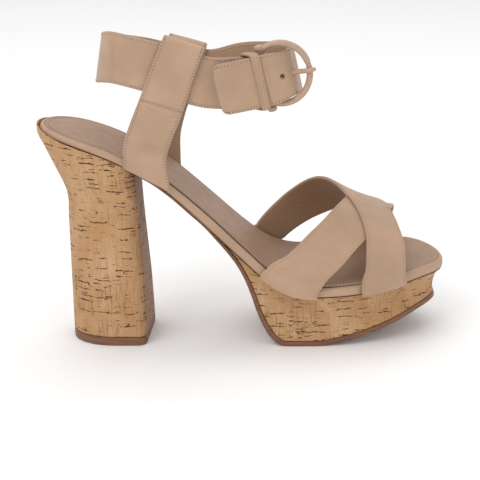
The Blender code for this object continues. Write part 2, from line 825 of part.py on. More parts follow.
def front_band(name, rows, finish):
    """One front strap, laid over the foot's form between two footbed edges."""
    rings = []
    start, end = rows[0].over, rows[-1].over
    for i in range(STRAP_STATIONS + 1):
        over = start + (end - start) * i / STRAP_STATIONS
        rear = follow(rows, "rear", over)
        front = follow(rows, "front", over)
        lift = follow(rows, "lift", over) * FRONT_STRAP_THICKNESS
        rim = 0.45 * FRONT_STRAP_THICKNESS / ((front - rear) * LAST_REACH)
        columns = [rim + (1 - 2 * rim) * k / STRAP_COLUMNS for k in range(STRAP_COLUMNS + 1)]
        section = [(b, 0.0) for b in columns] + [(1.0, 0.27), (1.0, 0.73)]
        section += [(b, 1.0) for b in reversed(columns)] + [(0.0, 0.73), (0.0, 0.27)]
        ring = []
        for b, up in section:
            share = rear + (front - rear) * b
            ring.append(vamp_point(share, over)
                        + vamp_normal(share, over) * (lift + up * FRONT_STRAP_THICKNESS))
        rings.append(ring)
    return ring_loft(name, rings, finish)


def build_front_straps():
    """The crossed front straps, one body joined where they cross."""
    straps = front_band("front_straps", STRAP_A_ROWS, LEATHER)
    upper = front_band("front_strap_guide", STRAP_B_ROWS, LEATHER)
    combine(straps, [upper], "UNION")
    return straps


def ring_point(row):
    """Middle of the ankle strap at a row of its table."""
    return Vector((ANKLE_BACK + row.reach * ANKLE_REACH,
                   row.side * ANKLE_HALF_WIDTH,
                   ANKLE_HEIGHT + row.dip * ANKLE_DIP))


BUCKLE_CENTRE = Vector((ANKLE_BACK + BAR_REACH * ANKLE_REACH,
                        RING_ROWS[0].side * ANKLE_HALF_WIDTH
                        - ANKLE_STRAP_THICKNESS / 2 - CLEARANCE - BUCKLE_BAR / 2,
                        ANKLE_HEIGHT + BAR_HEIGHT * ANKLE_DIP))
BUCKLE_ALONG = Vector((math.cos(BUCKLE_TILT), 0.0, math.sin(BUCKLE_TILT)))
BUCKLE_UP = Vector((-math.sin(BUCKLE_TILT), 0.0, math.cos(BUCKLE_TILT)))
BUCKLE_OUT = Vector((0.0, -1.0, 0.0))


def at_buckle(along, up, out):
    """Point in the buckle's own axes, in metres from the middle of its bar."""
    return BUCKLE_CENTRE + BUCKLE_ALONG * along + BUCKLE_UP * up + BUCKLE_OUT * out


FOLD_RADIUS = BUCKLE_BAR / 2 + CLEARANCE + ANKLE_STRAP_THICKNESS / 2
FOLD_NARROWING = 0.86
FOLD_LENGTH = 11.0 * MM
SLOT_MARGIN = 0.2 * MM
PATH_STEPS = 3


def prong_centres():
    """Middle line of the prong, from the bar over the frame."""
    return smooth_path([turn_point(row) for row in PRONG_ROWS], PATH_STEPS)


def turn_point(row):
    """Middle of the strap at a row near the buckle."""
    return at_buckle(row.along * BUCKLE_RADIUS, 0.0, row.out * ANKLE_STRAP_THICKNESS)


def ankle_points():
    """Middle line of the whole ankle strap, with the band's up direction and half-width."""
    up_fold = BUCKLE_UP
    full = ANKLE_STRAP_WIDTH / 2
    narrow = full * FOLD_NARROWING
    knots = []
    lapped = ANKLE_STRAP_THICKNESS + CLEARANCE - FOLD_RADIUS
    knots.append((at_buckle(-FOLD_LENGTH, 0.0, lapped), up_fold, narrow))
    knots.append((at_buckle(-FOLD_LENGTH / 2, 0.0, 0.55 * FOLD_RADIUS), up_fold, narrow))
    for degrees in (90, 45, 0, -45, -90):
        angle = math.radians(degrees)
        knots.append((at_buckle(FOLD_RADIUS * math.cos(angle), 0.0, FOLD_RADIUS * math.sin(angle)),
                      up_fold, narrow))
    knots.append((at_buckle(-FOLD_LENGTH / 2, 0.0, -FOLD_RADIUS), up_fold, (narrow + full) / 2))
    knots.append((at_buckle(-FOLD_LENGTH, 0.0, -FOLD_RADIUS), up_fold, full))
    for row in RING_ROWS[1:]:
        lean = math.radians(row.lean)
        knots.append((ring_point(row), Vector((math.sin(lean), 0.0, math.cos(lean))), full))
    for row in FREE_ROWS:
        knots.append((turn_point(row), BUCKLE_UP, full * row.wide))
    return knots


def build_ankle_strap():
    """The ankle strap: folded round the bar, through both loops and back under the keeper."""
    knots = ankle_points()
    centres = smooth_path([knot[0] for knot in knots], 2)
    ups = smooth_path([knot[1] for knot in knots], 2)
    halves = [value.x for value in smooth_path([Vector((knot[2], 0.0)) for knot in knots], 2)]
    run = 0.0
    for i in range(len(centres) - 1, 0, -1):
        if run < STRAP_TIP_ROUNDING:
            rest = STRAP_TIP_ROUNDING - run
            halves[i] -= STRAP_TIP_ROUNDING - math.sqrt(STRAP_TIP_ROUNDING ** 2 - rest ** 2)
        run += (centres[i] - centres[i - 1]).length
    strap = ribbon("ankle_strap", centres, ups, halves, ANKLE_STRAP_THICKNESS, LEATHER)
    lap_out = (ANKLE_STRAP_THICKNESS + CLEARANCE) / 2 - FOLD_RADIUS
    pad = block("fold_seam_guide", at_buckle(SEAM_LENGTH / 2 - FOLD_LENGTH, 0.0, lap_out),
                BUCKLE_ALONG, BUCKLE_UP, BUCKLE_OUT,
                (SEAM_LENGTH * 0.8, 0.8 * FOLD_NARROWING * ANKLE_STRAP_WIDTH, ANKLE_STRAP_THICKNESS))
    combine(strap, [pad], "UNION")
    reach = FOLD_RADIUS + ANKLE_STRAP_THICKNESS / 2 + SLOT_MARGIN
    back = PRONG_RING + CLEARANCE
    slot = block("fold_slot_guide", at_buckle((reach - back) / 2, 0.0, 0.0),
                 BUCKLE_ALONG, BUCKLE_UP, BUCKLE_OUT,
                 (reach + back, PRONG_WIRE + 4 * CLEARANCE, 2 * reach))
    centres = [point for point in prong_centres()
               if 0.60 < (point - BUCKLE_CENTRE).dot(BUCKLE_ALONG) / BUCKLE_RADIUS < 1.2]
    prong_hole = rod("prong_hole_guide", centres, [PRONG_HOLE / 2] * len(centres), LEATHER)
    hole_at = SPARE_HOLE_ALONG * BUCKLE_RADIUS
    layer = follow(tuple(reversed(FREE_ROWS)), "out", SPARE_HOLE_ALONG) * ANKLE_STRAP_THICKNESS
    ahead = follow(tuple(reversed(FREE_ROWS)), "out", SPARE_HOLE_ALONG + 0.05) * ANKLE_STRAP_THICKNESS
    slope = Vector((0.05 * BUCKLE_RADIUS, ahead - layer)).normalized()
    ends = [at_buckle(hole_at - slope.y * k * ANKLE_STRAP_THICKNESS, 0.0,
                      layer + slope.x * k * ANKLE_STRAP_THICKNESS) for k in (-0.85, 0.85)]
    spare_hole = rod("spare_hole_guide", ends, [STRAP_HOLE / 2] * 2, LEATHER, 16)
    combine(strap, [slot, prong_hole, spare_hole], "DIFFERENCE")
    return strap


def build_side_strap(name, side, loop_row):
    """A side strap from the footbed's edge up to its loop round the ankle strap."""
    loop = ring_point(RING_ROWS[loop_row])
    ankle = (ring_point(RING_ROWS[loop_row + 1]) - ring_point(RING_ROWS[loop_row - 1])).normalized()
    foot_x = SIDE_STRAP_FOOT + (MEDIAL_FOOT_AHEAD if side == MEDIAL else 0.0)
    widest = max(half_width(foot_x + k * SIDE_STRAP_WIDTH, side) for k in (-0.6, -0.3, 0.0, 0.3, 0.6))
    foot_y = side * (widest + CLEARANCE + SIDE_STRAP_THICKNESS / 2)
    foot = LAST.lift(foot_x, foot_y, -footbed_edge(foot_x))
    reach = (loop - foot).length
    up = (loop - foot).normalized()
    along = ankle * math.copysign(1.0, ankle.x)
    skew = along.dot(up)
    along = (along - up * skew).normalized()
    out = along.cross(up)
    out *= math.copysign(1.0, out.y * side)
    column = "lateral" if side == LATERAL else "medial"
    layer = ANKLE_STRAP_THICKNESS / 2 + LOOP_SLACK + SIDE_STRAP_THICKNESS / 2
    slot = ANKLE_STRAP_WIDTH / 2 + LOOP_SLACK + 1.2 * abs(skew) * SIDE_STRAP_WIDTH / 2
    knots = []

    def add_knot(rise, offset):
        shift = follow(SIDE_ROWS, column, rise) * SIDE_STRAP_WIDTH
        lean = math.radians(follow(SIDE_ROWS, "lean", min(rise, 1.0)))
        across = Vector((math.cos(lean), 0.0, -math.sin(lean)))
        blend = min(max((rise - 0.4) / 0.4, 0.0), 1.0)
        knots.append((foot.lerp(loop, rise) + along * shift + out * offset,
                      across.lerp(along, blend),
                      follow(SIDE_ROWS, "wide", min(rise, 1.3)) * SIDE_STRAP_WIDTH / 2))

    for rise in OUTER_RISES:
        add_knot(rise, layer * min(max((rise - 0.12) / 0.5, 0.0), 1.0))
    for degrees in (0, 45, 90, 135, 180):
        angle = math.radians(degrees)
        add_knot(1.0 + (slot - 0.3 * layer + layer * math.sin(angle)) / reach, layer * math.cos(angle))
    seam = 1.0 - (slot + 0.75 * SEAM_LENGTH) / reach
    lap = layer - SIDE_STRAP_THICKNESS - CLEARANCE
    add_knot(1.0, -layer)
    add_knot(1.0 - 0.9 * slot / reach, -0.9 * layer)
    add_knot(1.0 - 1.12 * slot / reach, 0.1 * lap - 0.2 * layer)
    add_knot(seam, lap)
    add_knot(seam - 0.5 * SEAM_LENGTH / reach, lap)
    centres = smooth_path([knot[0] for knot in knots], 2)
    acrosses = smooth_path([knot[1] for knot in knots], 2)
    halves = [value.x for value in smooth_path([Vector((knot[2], 0.0)) for knot in knots], 2)]
    strap = ribbon(name, centres, acrosses, halves, SIDE_STRAP_THICKNESS, LEATHER, squared=False)
    shift = follow(SIDE_ROWS, column, seam) * SIDE_STRAP_WIDTH
    middle = foot.lerp(loop, seam) + along * shift + out * (layer + lap) / 2
    pad = block(name + "_seam_guide", middle, along, up, out,
                (0.9 * SIDE_STRAP_WIDTH, 0.5 * SEAM_LENGTH, SIDE_STRAP_THICKNESS))
    combine(strap, [pad], "UNION")
    return strap


def build_buckle_frame():
    """The D-shaped frame: a round wire cut by its bar, with a knob at each end of the bar."""
    bar_offset = BUCKLE_BAR_OFFSET * BUCKLE_RADIUS
    length = BUCKLE_FLATNESS * BUCKLE_RADIUS
    open_angle = math.acos(-bar_offset / length)
    lift = math.tan(BUCKLE_LIFT)
    count = 26
    centres = []
    for i in range(count + 1):
        angle = -open_angle + 2 * open_angle * i / count
        along = bar_offset + length * math.cos(angle)
        up = BUCKLE_RISE + BUCKLE_RADIUS * math.sin(angle)
        centres.append(at_buckle(along, up, along * lift))
    frame = rod("buckle_frame", centres, [BUCKLE_WIRE / 2] * len(centres), ENAMEL)
    bar_rows = ((-1.0, 0.55), (-0.99, 0.85), (-0.94, 1.0), (-0.86, 1.0), (-0.82, 0.66), (0.82, 0.66),
                (0.86, 1.0), (0.94, 1.0), (0.99, 0.85), (1.0, 0.55))
    centres = [at_buckle(0.0, share * BUCKLE_KNOB_REACH, 0.0) for share, _ in bar_rows]
    radii = [size * BUCKLE_KNOB / 2 for _, size in bar_rows]
    bar = rod("buckle_bar_guide", centres, radii, ENAMEL)
    combine(frame, [bar], "UNION")
    centres = prong_centres()
    notch = rod("notch_guide", centres, [PRONG_WIRE / 2 + CLEARANCE] * len(centres), ENAMEL)
    combine(frame, [notch], "DIFFERENCE")
    return frame


EYE_STEPS = 16


def build_buckle_prong():
    """The prong, with its ring round the bar."""
    centres = prong_centres()
    radii = [follow(PRONG_ROWS, "wide", (point - BUCKLE_CENTRE).dot(BUCKLE_ALONG) / BUCKLE_RADIUS)
             * PRONG_WIRE / 2 for point in centres]
    prong = rod("buckle_prong", centres, radii, ENAMEL, 8)
    wire = PRONG_RING - BUCKLE_BAR / 2 - CLEARANCE
    middle = PRONG_RING - wire / 2
    rings = []
    for i in range(EYE_STEPS):
        angle = 2 * math.pi * i / EYE_STEPS
        outward = BUCKLE_ALONG * math.cos(angle) + BUCKLE_OUT * math.sin(angle)
        rings.append([BUCKLE_CENTRE + outward * (middle + wire / 2 * math.cos(k))
                      + BUCKLE_UP * (PRONG_WIRE / 2 * math.sin(k))
                      for k in (2 * math.pi * j / 6 for j in range(6))])
    eye = ring_loft("prong_eye_guide", rings, ENAMEL, closed=True)
    combine(prong, [eye], "UNION")
    return prong


KEEPER_CORNER_STEPS = 3


def build_keeper():
    """The narrow keeper round all the layers of the ankle strap, pushed up to the bar."""
    wall = CLEARANCE + KEEPER_THICKNESS / 2
    half_up = ANKLE_STRAP_WIDTH / 2 + wall
    outer = follow(tuple(reversed(FREE_ROWS)), "out", 0.0) * ANKLE_STRAP_THICKNESS
    outer += ANKLE_STRAP_THICKNESS / 2 + wall
    inner = -FOLD_RADIUS - ANKLE_STRAP_THICKNESS / 2 - wall
    corner = KEEPER_THICKNESS * 1.5
    rings = []
    for quarter, (up_end, out_end) in enumerate(((half_up, outer), (-half_up, outer),
                                                 (-half_up, inner), (half_up, inner))):
        up_middle = up_end - math.copysign(corner, up_end)
        out_middle = out_end - math.copysign(corner, out_end)
        for step in range(KEEPER_CORNER_STEPS + 1):
            angle = math.pi / 2 * (quarter + step / KEEPER_CORNER_STEPS)
            towards = Vector((math.cos(angle), math.sin(angle)))
            outward = BUCKLE_UP * towards.x + BUCKLE_OUT * towards.y
            out = out_middle + corner * towards.y
            along = KEEPER_LEAN * (out - (outer + inner) / 2) - KEEPER_BACK
            middle = at_buckle(along, up_middle + corner * towards.x, out)
            rings.append([middle + offset for offset in
                          plate_section(KEEPER_WIDTH / 2, KEEPER_THICKNESS, BUCKLE_ALONG, outward)])
    return ring_loft("strap_keeper", rings, LEATHER, closed=True)


def main():
    """Clear the scene and build every piece."""
    for piece in list(bpy.data.objects):
        bpy.data.objects.remove(piece)
    build_top_lift()
    build_heel()
    build_outsole()
    build_platform()
    build_footbed()
    build_sock()
    build_front_straps()
    build_side_strap("side_strap_lateral", LATERAL, LATERAL_LOOP_ROW)
    build_side_strap("side_strap_medial", MEDIAL, MEDIAL_LOOP_ROW)
    build_ankle_strap()
    build_buckle_frame()
    build_buckle_prong()
    build_keeper()


main()
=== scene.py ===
"""Looks of the platform sandal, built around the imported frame.

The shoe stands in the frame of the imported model: origin under the heel, +X to the toe, +Y to the
inner side, +Z up. Sizes are in metres and are the ones that the solids were made from.
"""

import logging
import math
from dataclasses import dataclass, field
from enum import Enum
from typing import Sequence

import bmesh
import bpy
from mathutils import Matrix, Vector, noise


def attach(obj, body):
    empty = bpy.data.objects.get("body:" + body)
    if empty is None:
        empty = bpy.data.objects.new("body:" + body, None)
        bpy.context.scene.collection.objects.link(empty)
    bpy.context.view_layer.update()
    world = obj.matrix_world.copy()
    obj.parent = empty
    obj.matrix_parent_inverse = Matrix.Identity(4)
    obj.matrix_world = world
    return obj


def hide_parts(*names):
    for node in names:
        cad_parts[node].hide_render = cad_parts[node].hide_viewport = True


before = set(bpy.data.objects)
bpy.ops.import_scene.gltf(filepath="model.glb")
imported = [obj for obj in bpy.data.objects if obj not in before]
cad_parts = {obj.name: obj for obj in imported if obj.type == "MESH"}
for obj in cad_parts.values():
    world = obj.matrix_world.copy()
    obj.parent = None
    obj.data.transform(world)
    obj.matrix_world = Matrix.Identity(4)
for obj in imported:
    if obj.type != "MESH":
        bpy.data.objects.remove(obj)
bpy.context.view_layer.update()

LOG = logging.getLogger("sandal")
MM = 0.001
CLEARANCE = 0.3 * MM
ROOT = "root"
WRAP_MAP = "wrap"
SHADE_MAP = "shade"
SKIN_START = 0.08

Colour = tuple[float, float, float]
Pair = tuple[Vector, Vector]
Socket = bpy.types.NodeSocket
Material = bpy.types.Material


class Side(Enum):
    """The two sides of a right foot, by the sign of Y."""

    LATERAL = -1
    MEDIAL = 1


class Face(Enum):
    """Which material a strap's face takes."""

    OUTER = 0
    INNER = 1


class Seam(Enum):
    """How a strap's edges are closed."""

    STITCHED = "stitched"
    TURNED = "turned"


# Objects, curves and tables


@dataclass(frozen=True)
class Track:
    """Rows of given values, read on a smooth curve that never overshoots a row."""

    columns: tuple[str, ...]
    rows: tuple[tuple[float, ...], ...]

    def at(self, column: str, place: float) -> float:
        """Read a column at a place.

        Args:
            column: Name of the column.
            place: Value along the first column.

        Returns:
            The value on the curve, straight on beyond the ends.
        """
        index = self.columns.index(column)
        places = [row[0] for row in self.rows]
        values = [row[index] for row in self.rows]
        last = len(places) - 1
        steps = [places[i + 1] - places[i] for i in range(last)]
        slopes = [(values[i + 1] - values[i]) / steps[i] for i in range(last)]
        tangents = [slopes[0]]
        for i in range(1, last):
            before, after = slopes[i - 1], slopes[i]
            if before * after <= 0:
                tangents.append(0.0)
            else:
                tangents.append((before * steps[i] + after * steps[i - 1]) / (steps[i - 1] + steps[i]))
        tangents.append(slopes[-1])
        if place <= places[0]:
            return values[0] + tangents[0] * (place - places[0])
        if place >= places[-1]:
            return values[-1] + tangents[-1] * (place - places[-1])
        i = max(k for k in range(last) if places[k] <= place)
        t = (place - places[i]) / steps[i]
        return ((2 * t ** 3 - 3 * t ** 2 + 1) * values[i]
                + (t ** 3 - 2 * t ** 2 + t) * steps[i] * tangents[i]
                + (3 * t ** 2 - 2 * t ** 3) * values[i + 1]
                + (t ** 3 - t ** 2) * steps[i] * tangents[i + 1])


def add_object(name: str, data: bpy.types.ID) -> bpy.types.Object:
    """Make an object of some data and put it into the scene."""
    made = bpy.data.objects.new(name, data)
    bpy.context.scene.collection.objects.link(made)
    return made


def smooth_path(points: Sequence[Vector], per_span: int) -> list[Vector]:
    """Lay a smooth curve through points.

    Args:
        points: Points of any length to pass through.
        per_span: Steps between two points.

    Returns:
        Points on the curve, both ends included.
    """
    path = []
    last = len(points) - 1
    for i in range(last):
        before = points[i - 1] if i > 0 else points[i] * 2 - points[i + 1]
        after = points[i + 2] if i + 2 <= last else points[i + 1] * 2 - points[i]
        start, end = points[i], points[i + 1]
        for step in range(per_span):
            t = step / per_span
            path.append(0.5 * (2 * start + (end - before) * t
                               + (2 * before - 5 * start + 4 * end - after) * t ** 2
                               + (3 * start - before - 3 * end + after) * t ** 3))
    path.append(points[last].copy())
    return path


def smooth_values(values: Sequence[float], per_span: int) -> list[float]:
    """Lay the same smooth curve through plain numbers."""
    return [v.x for v in smooth_path([Vector((value, 0.0)) for value in values], per_span)]


def run_lengths(points: Sequence[Vector]) -> list[float]:
    """Distance along a path at each of its points."""
    lengths = [0.0]
    for one, two in zip(points, points[1:]):
        lengths.append(lengths[-1] + (two - one).length)
    return lengths


def bump(value: float, width: float) -> float:
    """A soft hump of height 1 around zero."""
    return math.exp(-(value / width) ** 2)


@dataclass(frozen=True)
class Crease:
    """One crease in leather, in metres along and across the strap."""

    along: float
    across: float
    length: float
    angle: float
    depth: float
    width: float

    def sink(self, along: float, across: float) -> float:
        """How deep the crease lies at a place.

        Args:
            along: Distance along the strap.
            across: Distance from its middle line.

        Returns:
            Depth in metres, with a small lifted lip on each side of the fold.
        """
        turn = math.radians(self.angle)
        da, dc = along - self.along, across - self.across
        run = da * math.cos(turn) + dc * math.sin(turn)
        off = -da * math.sin(turn) + dc * math.cos(turn)
        reach = bump(run, self.length / 2)
        fold = bump(off, self.width) - 0.45 * bump(abs(off) - 2.0 * self.width, self.width)
        return self.depth * reach * fold


def creases(start: float, *rows: tuple[float, ...]) -> tuple[Crease, ...]:
    """Creases from rows in millimetres, with the angle in degrees.

    Args:
        start: Distance along the strap, in metres, that the rows are counted from.
        rows: Along, across, length, angle, depth and width of each crease.

    Returns:
        The creases.
    """
    return tuple(Crease(start + along * MM, across * MM, length * MM, angle, depth * MM, width * MM)
                 for along, across, length, angle, depth, width in rows)


def toned(colour: Colour, factor: float) -> Colour:
    """The colour made lighter or darker."""
    return tuple(min(c * factor, 1.0) for c in colour)


# Materials


class NodeMaker:
    """Short calls for wiring a material's nodes."""

    def __init__(self, name: str) -> None:
        """Start a material with a Principled shader."""
        self.material = bpy.data.materials.new(name)
        self.material.use_nodes = True
        self.tree = self.material.node_tree
        self.shader = self.tree.nodes["Principled BSDF"]

    def node(self, kind: str, inputs: dict[str | int, object] | None = None,
             **values: object) -> bpy.types.Node:
        """Add a node.

        Args:
            kind: Blender's name of the node.
            inputs: A value or another node's socket for each input.
            values: The node's own properties.

        Returns:
            The node.
        """
        made = self.tree.nodes.new(kind)
        for key, value in values.items():
            setattr(made, key, value)
        for key, value in (inputs or {}).items():
            if isinstance(value, Socket):
                self.link(value, made.inputs[key])
            else:
                made.inputs[key].default_value = value
        return made

    def link(self, source: Socket, target: Socket) -> None:
        """Join two sockets."""
        self.tree.links.new(source, target)

    def place(self, scale: Colour = (1.0, 1.0, 1.0), wrapped: bool = False) -> Socket:
        """A scaled place on the surface.

        Args:
            scale: Repeats a metre along each axis.
            wrapped: True for distances along the skin, False for places in space.

        Returns:
            The vector socket.
        """
        if wrapped:
            source = self.node("ShaderNodeUVMap", uv_map=WRAP_MAP).outputs["UV"]
        else:
            source = self.node("ShaderNodeTexCoord").outputs["Object"]
        return self.node("ShaderNodeMapping", {"Vector": source, "Scale": scale}).outputs["Vector"]

    def noise(self, vector: Socket, scale: float, detail: float = 2.0,
              rough: float = 0.5) -> Socket:
        """Noise between about 0 and 1."""
        inputs = {"Vector": vector, "Scale": scale, "Detail": detail, "Roughness": rough}
        return self.node("ShaderNodeTexNoise", inputs).outputs["Fac"]

    def stretched(self, scale: Colour, detail: float, rough: float,
                  wrapped: bool = True) -> Socket:
        """Noise with its own repeats a metre along each axis."""
        return self.noise(self.place(scale, wrapped), 1.0, detail, rough)

    def cells(self, vector: Socket, scale: float) -> Socket:
        """Distance within random cells."""
        return self.node("ShaderNodeTexVoronoi", {"Vector": vector, "Scale": scale}).outputs["Distance"]

    def grid(self, vector: Socket, randomness: float = 1.0,
             distance: str = "EUCLIDEAN") -> bpy.types.Node:
        """Random cells of size 1 on the skin."""
        return self.node("ShaderNodeTexVoronoi", {"Vector": vector, "Scale": 1.0, "Randomness": randomness},
                         voronoi_dimensions="2D", distance=distance)

    def chances(self, grid: bpy.types.Node) -> Sequence[Socket]:
        """Three random numbers that stay the same within a cell."""
        return self.node("ShaderNodeSeparateColor", {0: grid.outputs["Color"]}).outputs

    def vectors(self, operation: str, one: Socket,
                two: Socket | Colour) -> Socket:
        """One sum of two vectors."""
        return self.node("ShaderNodeVectorMath", {0: one, 1: two}, operation=operation).outputs[0]

    def ramp(self, value: Socket, low: float, high: float, start: float = 0.0,
             end: float = 1.0) -> Socket:
        """Stretch a value from one range to another, smoothly and clamped."""
        inputs = {"Value": value, "From Min": low, "From Max": high, "To Min": start, "To Max": end}
        return self.node("ShaderNodeMapRange", inputs, interpolation_type="SMOOTHSTEP").outputs["Result"]

    def maths(self, operation: str, one: Socket,
              two: Socket | float) -> Socket:
        """One sum of two values."""
        return self.node("ShaderNodeMath", {0: one, 1: two}, operation=operation).outputs[0]

    def mix(self, share: Socket, one: Socket | Colour,
            two: Socket | Colour) -> Socket:
        """Mix two colours by a share."""
        first, second = ((*colour, 1.0) if isinstance(colour, tuple) else colour for colour in (one, two))
        inputs = {"Factor": share, 6: first, 7: second}
        return self.node("ShaderNodeMix", inputs, data_type="RGBA").outputs[2]

    def relief(self, height: Socket, distance: float, strength: float = 1.0) -> None:
        """Drive the shader's normal by a height."""
        made = self.node("ShaderNodeBump", {"Height": height, "Strength": strength, "Distance": distance})
        self.feed("Normal", made.outputs["Normal"])

    def feed(self, name: str, source: Socket) -> None:
        """Drive one of the shader's sockets."""
        self.link(source, self.shader.inputs[name])

    def set(self, **values: float) -> None:
        """Set plain numbers on the shader, with _ for a space in a socket's name."""
        for key, value in values.items():
            self.shader.inputs[key.replace("_", " ")].default_value = value


@dataclass(frozen=True)
class LeatherFinish:
    """Smooth leather with a fine grain, and painted shade where it is pressed or folded."""

    name: str
    colour: Colour
    # Colour that the painted shade and the grain's darkened pits go towards.
    deep: Colour
    roughness: float = 0.5
    grain: float = 1500.0
    grain_height: float = 0.05 * MM
    mottle: float = 0.10

    def build(self) -> Material:
        """Make the material."""
        make = NodeMaker(self.name)
        here = make.place()
        patches = make.ramp(make.noise(here, 38.0, 3.0, 0.55), 0.25, 0.75)
        base = make.mix(patches, toned(self.colour, 1 - self.mottle), toned(self.colour, 1 + self.mottle))
        pores = make.ramp(make.cells(here, self.grain), 0.0, 0.55)
        # Painted shade: the pits of the grain are drawn a little darker.
        base = make.mix(make.ramp(pores, 0.0, 0.5, 0.10, 0.0), base, self.deep)
        # Painted shade from the mesh's shade map: creases, sewing grooves and the groove round the sock are
        # drawn towards the deep colour.
        painted_shade = make.node("ShaderNodeAttribute", attribute_name=SHADE_MAP)
        make.feed("Base Color", make.mix(painted_shade.outputs["Fac"], base, self.deep))
        make.feed("Roughness", make.ramp(make.noise(here, 160.0), 0.3, 0.7, self.roughness - 0.05,
                                         self.roughness + 0.06))
        height = make.maths("ADD", pores, make.maths("MULTIPLY", make.noise(here, 420.0, 3.0), 1.4))
        make.relief(height, self.grain_height, 0.6)
        make.set(Specular_IOR_Level=0.32, Sheen_Weight=0.03, Sheen_Roughness=0.4)
        return make.material


@dataclass(frozen=True)
class CorkFinish:
    """Sheet cork: pale, grained up and down, with level dashes, knots and crowded patches, and painted shade
    on the heel's breast.
    """

    name: str
    pale: Colour
    warm: Colour
    breast_shade_colour: Colour
    fleck: Colour
    fleck_height: float = 0.35 * MM

    def dashes(self, make: NodeMaker, skin: Socket, cell: tuple[float, float],
               half: tuple[float, float], kept: float) -> Socket:
        """Level dashes, at most one in a cell.

        Args:
            make: The material's maker.
            skin: Place on the skin in metres, a little disturbed.
            cell: Size of a cell in metres.
            half: Half the length and the height of a dash, as shares of its cell.
            kept: Share of the cells that have one.

        Returns:
            Strength between 0 and 1.
        """
        scaled = make.vectors("MULTIPLY", skin, (1 / cell[0], 1 / cell[1], 0.0))
        grid = make.grid(scaled, 0.85)
        chance = make.chances(grid)
        offset = make.vectors("SUBTRACT", scaled, grid.outputs["Position"])
        off, up, _ = make.node("ShaderNodeSeparateXYZ", {0: offset}).outputs
        reach = make.ramp(chance[1], 0.0, 1.0, 0.35 * half[0], half[0])
        ragged = make.stretched((420.0, 260.0, 1.0), 3.0, 0.7)
        thick = make.ramp(ragged, 0.32, 0.66, 0.05 * half[1], half[1])
        lean = make.maths("MULTIPLY", off, make.ramp(chance[2], 0.0, 1.0, -0.30, 0.30))
        run = make.maths("DIVIDE", make.maths("ABSOLUTE", off, 0.0), reach)
        over = make.maths("DIVIDE", make.maths("ABSOLUTE", make.maths("ADD", up, lean), 0.0), thick)
        ends = make.ramp(run, 0.8, 1.0, 1.0, 0.0)
        sides = make.ramp(over, 0.7, 1.15, 1.0, 0.0)
        there = make.ramp(chance[0], 1 - kept, 1 - kept + 0.05)
        return make.maths("MULTIPLY", make.maths("MULTIPLY", ends, sides), there)

    def knots(self, make: NodeMaker, skin: Socket) -> Socket:
        """Small rings where a fleck curls round."""
        grid = make.grid(make.vectors("MULTIPLY", skin, (64.0, 96.0, 0.0)))
        chance = make.chances(grid)
        size = make.ramp(chance[0], 0.0, 1.0, 0.035, 0.085)
        away = make.maths("ABSOLUTE", make.maths("SUBTRACT", grid.outputs["Distance"], size), 0.0)
        broken = make.ramp(make.stretched((500.0, 500.0, 1.0), 2.0, 0.7), 0.40, 0.56)
        ring = make.maths("MULTIPLY", make.ramp(away, 0.012, 0.05, 1.0, 0.0), broken)
        return make.maths("MULTIPLY", ring, make.ramp(chance[2], 0.74, 0.78))

    def disturbed(self, make: NodeMaker, skin: Socket) -> Socket:
        """Place on the skin, shifted a little this way and that."""
        wobble = make.node("ShaderNodeTexNoise", {"Vector": skin, "Scale": 260.0, "Detail": 3.0})
        shift = make.vectors("MULTIPLY", wobble.outputs["Color"], (0.0030, 0.0017, 0.0))
        return make.vectors("ADD", shift, skin)

    def ground(self, make: NodeMaker, skin: Socket,
               grain: Socket) -> Socket:
        """Colour of the cork without its marks.

        Args:
            make: The material's maker.
            skin: Place on the skin in metres.
            grain: Height of the upright grain.

        Returns:
            The colour.
        """
        broad = make.stretched((60.0, 26.0, 1.0), 3.0, 0.6)
        tone = make.chances(make.grid(make.place((85.0, 60.0, 1.0), True), distance="CHEBYCHEV"))
        base = make.mix(make.ramp(broad, 0.30, 0.70), self.pale, self.warm)
        base = make.mix(make.ramp(tone[0], 0.0, 1.0, 0.0, 0.50), base, self.warm)
        strength = make.ramp(tone[1], 0.2, 0.9, 0.20, 0.85)
        streak = make.maths("MULTIPLY", make.ramp(grain, 0.46, 0.70), strength)
        base = make.mix(streak, base, toned(self.warm, 0.60))
        # Painted shade: the heel's breast, turned away from the light, is drawn in a darker, pinker cork
        # through the mesh's shade map.
        painted_shade = make.node("ShaderNodeAttribute", attribute_name=SHADE_MAP)
        breast_shade_colour = make.mix(make.ramp(grain, 0.36, 0.66), self.breast_shade_colour, toned(self.breast_shade_colour, 0.55))
        base = make.mix(make.maths("MULTIPLY", painted_shade.outputs["Fac"], 0.85), base, breast_shade_colour)
        speck = make.noise(skin, 1100.0, 4.0, 0.7)
        return make.mix(make.ramp(speck, 0.36, 0.60, 0.22, 0.0), base, self.fleck)

    def marks(self, make: NodeMaker, skin: Socket) -> Socket:
        """Strength of every dash, knot and blot together."""
        moved = self.disturbed(make, skin)
        crowd = make.stretched((34.0, 48.0, 1.0), 2.0, 0.5)
        few = make.ramp(crowd, 0.42, 0.60, 0.25, 1.0)
        long_marks = self.dashes(make, moved, (0.0120, 0.0027), (0.48, 0.17), 0.42)
        short_marks = self.dashes(make, moved, (0.0052, 0.0019), (0.44, 0.22), 0.36)
        blots = make.ramp(make.stretched((480.0, 760.0, 1.0), 3.0, 0.75), 0.52, 0.60)
        blots = make.maths("MULTIPLY", blots, make.ramp(crowd, 0.60, 0.70))
        marks = make.maths("MAXIMUM", long_marks, make.maths("MULTIPLY", short_marks, few))
        for other in (self.knots(make, moved), blots):
            marks = make.maths("MAXIMUM", marks, make.maths("MULTIPLY", other, 0.85))
        return marks

